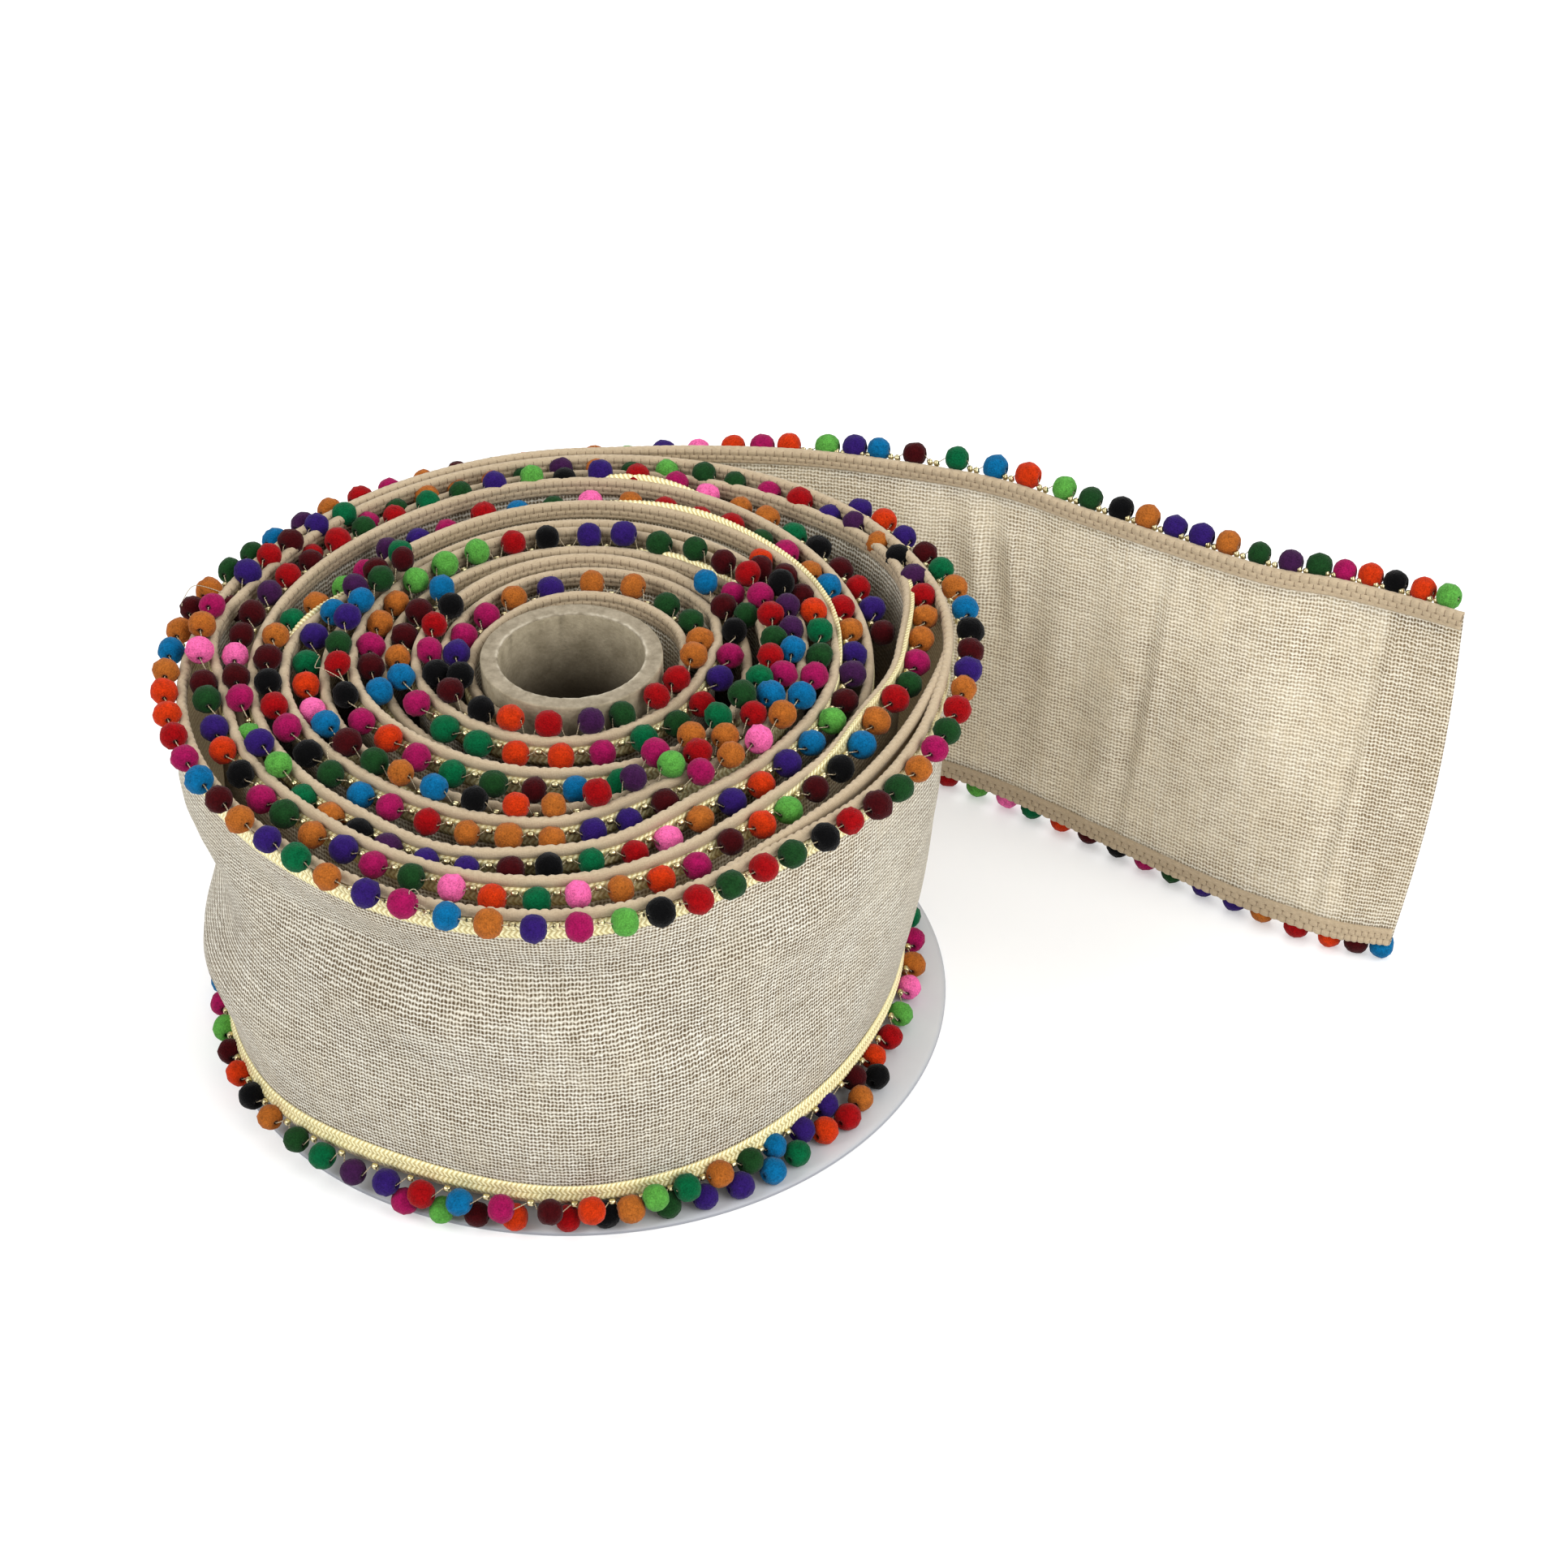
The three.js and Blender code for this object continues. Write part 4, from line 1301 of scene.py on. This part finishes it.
def core_card():
    card = Finish("core_card", Roughness=0.9, Specular_IOR_Level=0.2)
    _, height, rim = card.measures()
    mottle = card.noise(card.place(), 260.0, 4.0)
    grain = card.noise(card.place(), 1100.0, 3.0)
    speckle = (mottle * 1.3 + grain * 0.6 - 0.5).clamped()
    colour = card.blend(speckle, shade(132, 121, 98), shade(180, 168, 143))
    # Painted shade: the bore darkens towards the bottom.
    deep = ((BORE_LIT_DOWN_TO - height) * (1 / BORE_FADE)).clamped() * (0 - rim).clamped()
    colour = card.blend(deep * 0.9, colour, shade(44, 34, 23))
    cut = card.blend(speckle, shade(106, 96, 78), shade(162, 151, 131))
    colour = card.blend(rim.clamped(), colour, cut)
    frayed = (rim - 1).clamped()
    colour = card.blend(frayed * (mottle * 3 - 1.1).clamped(), colour, shade(190, 181, 162))
    return card.finish(colour, mottle * 0.6 + grain, depth=0.0003, strength=0.6)


def flange_card():
    card = Finish("flange_card", Roughness=0.5, Specular_IOR_Level=0.3)
    _, _, rim = card.measures()
    mottle = card.noise(card.place(), 120.0, 4.0)
    colour = card.blend((mottle * 0.8).clamped(), shade(194, 196, 199), shade(205, 206, 208))
    colour = card.blend(rim, colour, shade(140, 142, 148))
    return card.finish(colour, mottle, depth=0.00005, strength=0.3, Roughness=0.42 + mottle * 0.2)


CORE_CARD, FLANGE_CARD = core_card(), flange_card()
print("card finishes ready")

# %% [markdown]
# Both are turned: a profile of radius and height is carried round the spool's axis. The core's rim is made
# ragged by moving each spoke of it a little, and a flag on the profile marks the rim and the bore.

# %% Spool
core_low, core_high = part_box("spool_core")
CORE_RADIUS = core_high.x / MM
CORE_TOP = core_high.z / MM
CORE_SEAT = core_low.z / MM
CORE_WALL = 4.5
CORE_SIDES, FLANGE_SIDES = 128, 192
RAGGED = 0.07
RAGGED_SIDEWAYS = 0.4
FLANGE_PINHOLE, FLANGE_RING, FLANGE_FLOOR = 0.05, 60, 0.02


def turned(name, profile, sides, finish, slot, replaced, ragged=0.0):
    """A closed profile of (radius, height, rim) rows turned round the spool's axis."""
    radius, height, rim = np.array(profile).T
    turn = round_turn(sides)[:, None]
    fray = ragged * rim * draw.normal(0, 1, (sides, 1))
    reach = radius + RAGGED_SIDEWAYS * fray
    loops = np.stack([np.cos(turn) * reach, np.sin(turn) * reach, height + fray], -1)
    measures = np.stack([np.zeros(len(radius)), height, rim], -1)
    faces = grid_faces(sides + 1, len(radius), True) % (sides * len(radius))
    gatherer = Gatherer()
    gatherer.add(loops, faces, measures)
    return gatherer.make(name, finish, slot, replaced)


bore = CORE_RADIUS - CORE_WALL
core_levels = np.linspace(CORE_SEAT, CORE_TOP - 0.8, 14)
core_profile = [(CORE_RADIUS, z, 0) for z in core_levels]
core_profile += [(CORE_RADIUS, CORE_TOP - 0.4, 0), (CORE_RADIUS - 0.12, CORE_TOP - 0.1, 0.6),
                 (CORE_RADIUS - 0.5, CORE_TOP - 0.02, 1), (CORE_RADIUS - 1.5, CORE_TOP - 0.05, 1),
                 (CORE_RADIUS - 2.8, CORE_TOP - 0.15, 1), (bore + 0.9, CORE_TOP - 0.05, 1.2),
                 (bore + 0.35, CORE_TOP - 0.05, 2), (bore + 0.02, CORE_TOP - 0.3, 1.4)]
core_profile += [(bore, z, -1) for z in core_levels[::-1]]
core_tube = turned("core_tube", core_profile, CORE_SIDES, CORE_CARD, "core_card", ["spool_core"], RAGGED)
flange_profile = [(FLANGE_PINHOLE, FLANGE_FLOOR, 0), (FLANGE_RADIUS - 0.4, FLANGE_FLOOR, 0),
                  (FLANGE_RADIUS - 0.05, 0.25, 1), (FLANGE_RADIUS - 0.02, FLANGE_TOP - 0.3, 1),
                  (FLANGE_RADIUS - 0.35, FLANGE_TOP, 0.4), (FLANGE_RADIUS - 1.2, FLANGE_TOP, 0),
                  (FLANGE_RING, FLANGE_TOP, 0), (FLANGE_PINHOLE, FLANGE_TOP, 0)]
flange_disc = turned(
    "flange_disc", flange_profile, FLANGE_SIDES, FLANGE_CARD, "flange_card", ["spool_flange"])

# %% [markdown]
# A few loose ends of string were never trimmed. They are fine tubes along given curves, each starting
# at a braid and ending free, and small as they are they tell the eye that this is sewn by hand.

# %% Loose threads
THREAD_RADIUS = 0.11
THREAD_LEAVES = 1.0, -2.0
POINTS_A_KNOT = 10


def thread(start_walk, *shifts):
    """A curve from the upper braid, by steps of (along, out, up) from where it leaves."""
    here = Places([start_walk])
    start = here.beside(True, *THREAD_LEAVES)[0]
    directions = np.stack([here.along[0], here.face[0], here.rise[0]])
    knots = start + np.array([(0, 0, 0), *shifts], float) @ directions
    knots_at = np.linspace(0, len(knots) - 1, POINTS_A_KNOT * len(knots))
    return np.stack([read_curve(axis, knots_at) for axis in knots.T], 1)


def walk_to(angle):
    return float(np.interp(angle, PATH["angle"], WALKED))


thread_mesh = Gatherer()
for start, shifts in (
    (529.0, [(0, 2, 3), (-0.6, 2.4, 6.4), (0.6, 2.0, 7.4), (1.4, 1.6, 5.6), (0.4, 2.0, 3.4), (2.6, 2.4, 2.8),
             (3.6, 2.8, 1.6), (2.4, 3.0, 0.6)]),
    (walk_to(520), [(2, 5, 3), (5, 9, 5), (9, 10, 3), (13, 8, 4)]),
    (walk_to(2010), [(2, 3, 4), (3, 7, 6), (6, 9, 4), (9, 8, 5)]),
    (walk_to(2350), [(-2, 3, 4), (-5, 7, 6), (-9, 8, 4), (-12, 6, 5)]),
):
    add_tube(thread_mesh, thread(start, *shifts), THREAD_RADIUS)
loose_threads = thread_mesh.make("loose_threads", CREAM_STRING, "gold_braid")

# %% [markdown]
# The cloth was cut from a sheet: its woven width and its whole length. The hems, braids,
# balls and beads go with it, and it stands on the flange, wound round the core.

print("cut from a strip", RIBBON_WIDTH, "by", round(LENGTH), "mm")

# %% [markdown]
# The stage is a wide pale floor, as on a photographer's table. It glows a little of its own, so that it stays
# nearly white under soft light.

# %% Floor
FLOOR_SIZE = 6.0


def floor_paint():
    paint = Finish("floor_paint", Roughness=0.6, Specular_IOR_Level=0.2, Emission_Color=(1.0, 1.0, 1.0, 1.0),
                   Emission_Strength=0.35)
    drift = paint.noise(paint.place(), 3.0)
    return paint.finish(paint.blend(drift, shade(208, 208, 208), shade(212, 212, 212)))


floor_mesh = bpy.data.meshes.new("floor")
half = FLOOR_SIZE / 2
floor_corners = [(-half, -half, 0), (half, -half, 0), (half, half, 0), (-half, half, 0)]
floor_mesh.from_pydata(floor_corners, [], [(0, 1, 2, 3)])
floor_mesh.materials.append(floor_paint())
floor = bpy.data.objects.new("floor", floor_mesh)
bpy.context.scene.collection.objects.link(floor)
print("floor", FLOOR_SIZE, "m wide")

# %% [markdown]
# The light is soft: a bright even sky and four large lamps. The key lamp is in front and to the right, a fill
# lamp to the left, one lamp behind and a weak one low in front. They model folds and balls gently, and no
# hard shadow competes with the colours.

# %% Light
SKY_STRENGTH = 0.66


def lamp(name, place, aim, size, power):
    light = bpy.data.lights.new(name, "AREA")
    light.size, light.energy = size, power
    holder = bpy.data.objects.new(name, light)
    holder.location = place
    direction = np.array(aim) - np.array(place)
    flat = math.hypot(direction[0], direction[1])
    tilt, swing = math.atan2(flat, -direction[2]), math.atan2(direction[1], direction[0])
    holder.rotation_euler = (tilt, 0, swing - math.pi / 2)
    bpy.context.scene.collection.objects.link(holder)


lamp("key_lamp", (1.1, -0.7, 1.0), (0.05, 0, 0.05), 1.1, 18.3)
lamp("fill_lamp", (-1.1, -0.6, 1.1), (0.03, 0, 0.05), 1.0, 16)
lamp("back_lamp", (0.3, 1.1, 1.0), (0.12, 0, 0.05), 1.0, 9)
lamp("low_lamp", (0.6, -1.2, 0.3), (0.1, 0, 0.04), 1.0, 3.5)
sky = bpy.data.worlds.new("studio_sky")
sky.use_nodes = True
sky_inputs = sky.node_tree.nodes["Background"].inputs
sky_inputs["Color"].default_value = (1.0, 1.0, 1.0, 1.0)
sky_inputs["Strength"].default_value = SKY_STRENGTH
bpy.context.scene.world = sky
bpy.context.scene.view_settings.view_transform = "Standard"
print("four lamps and a pale sky")
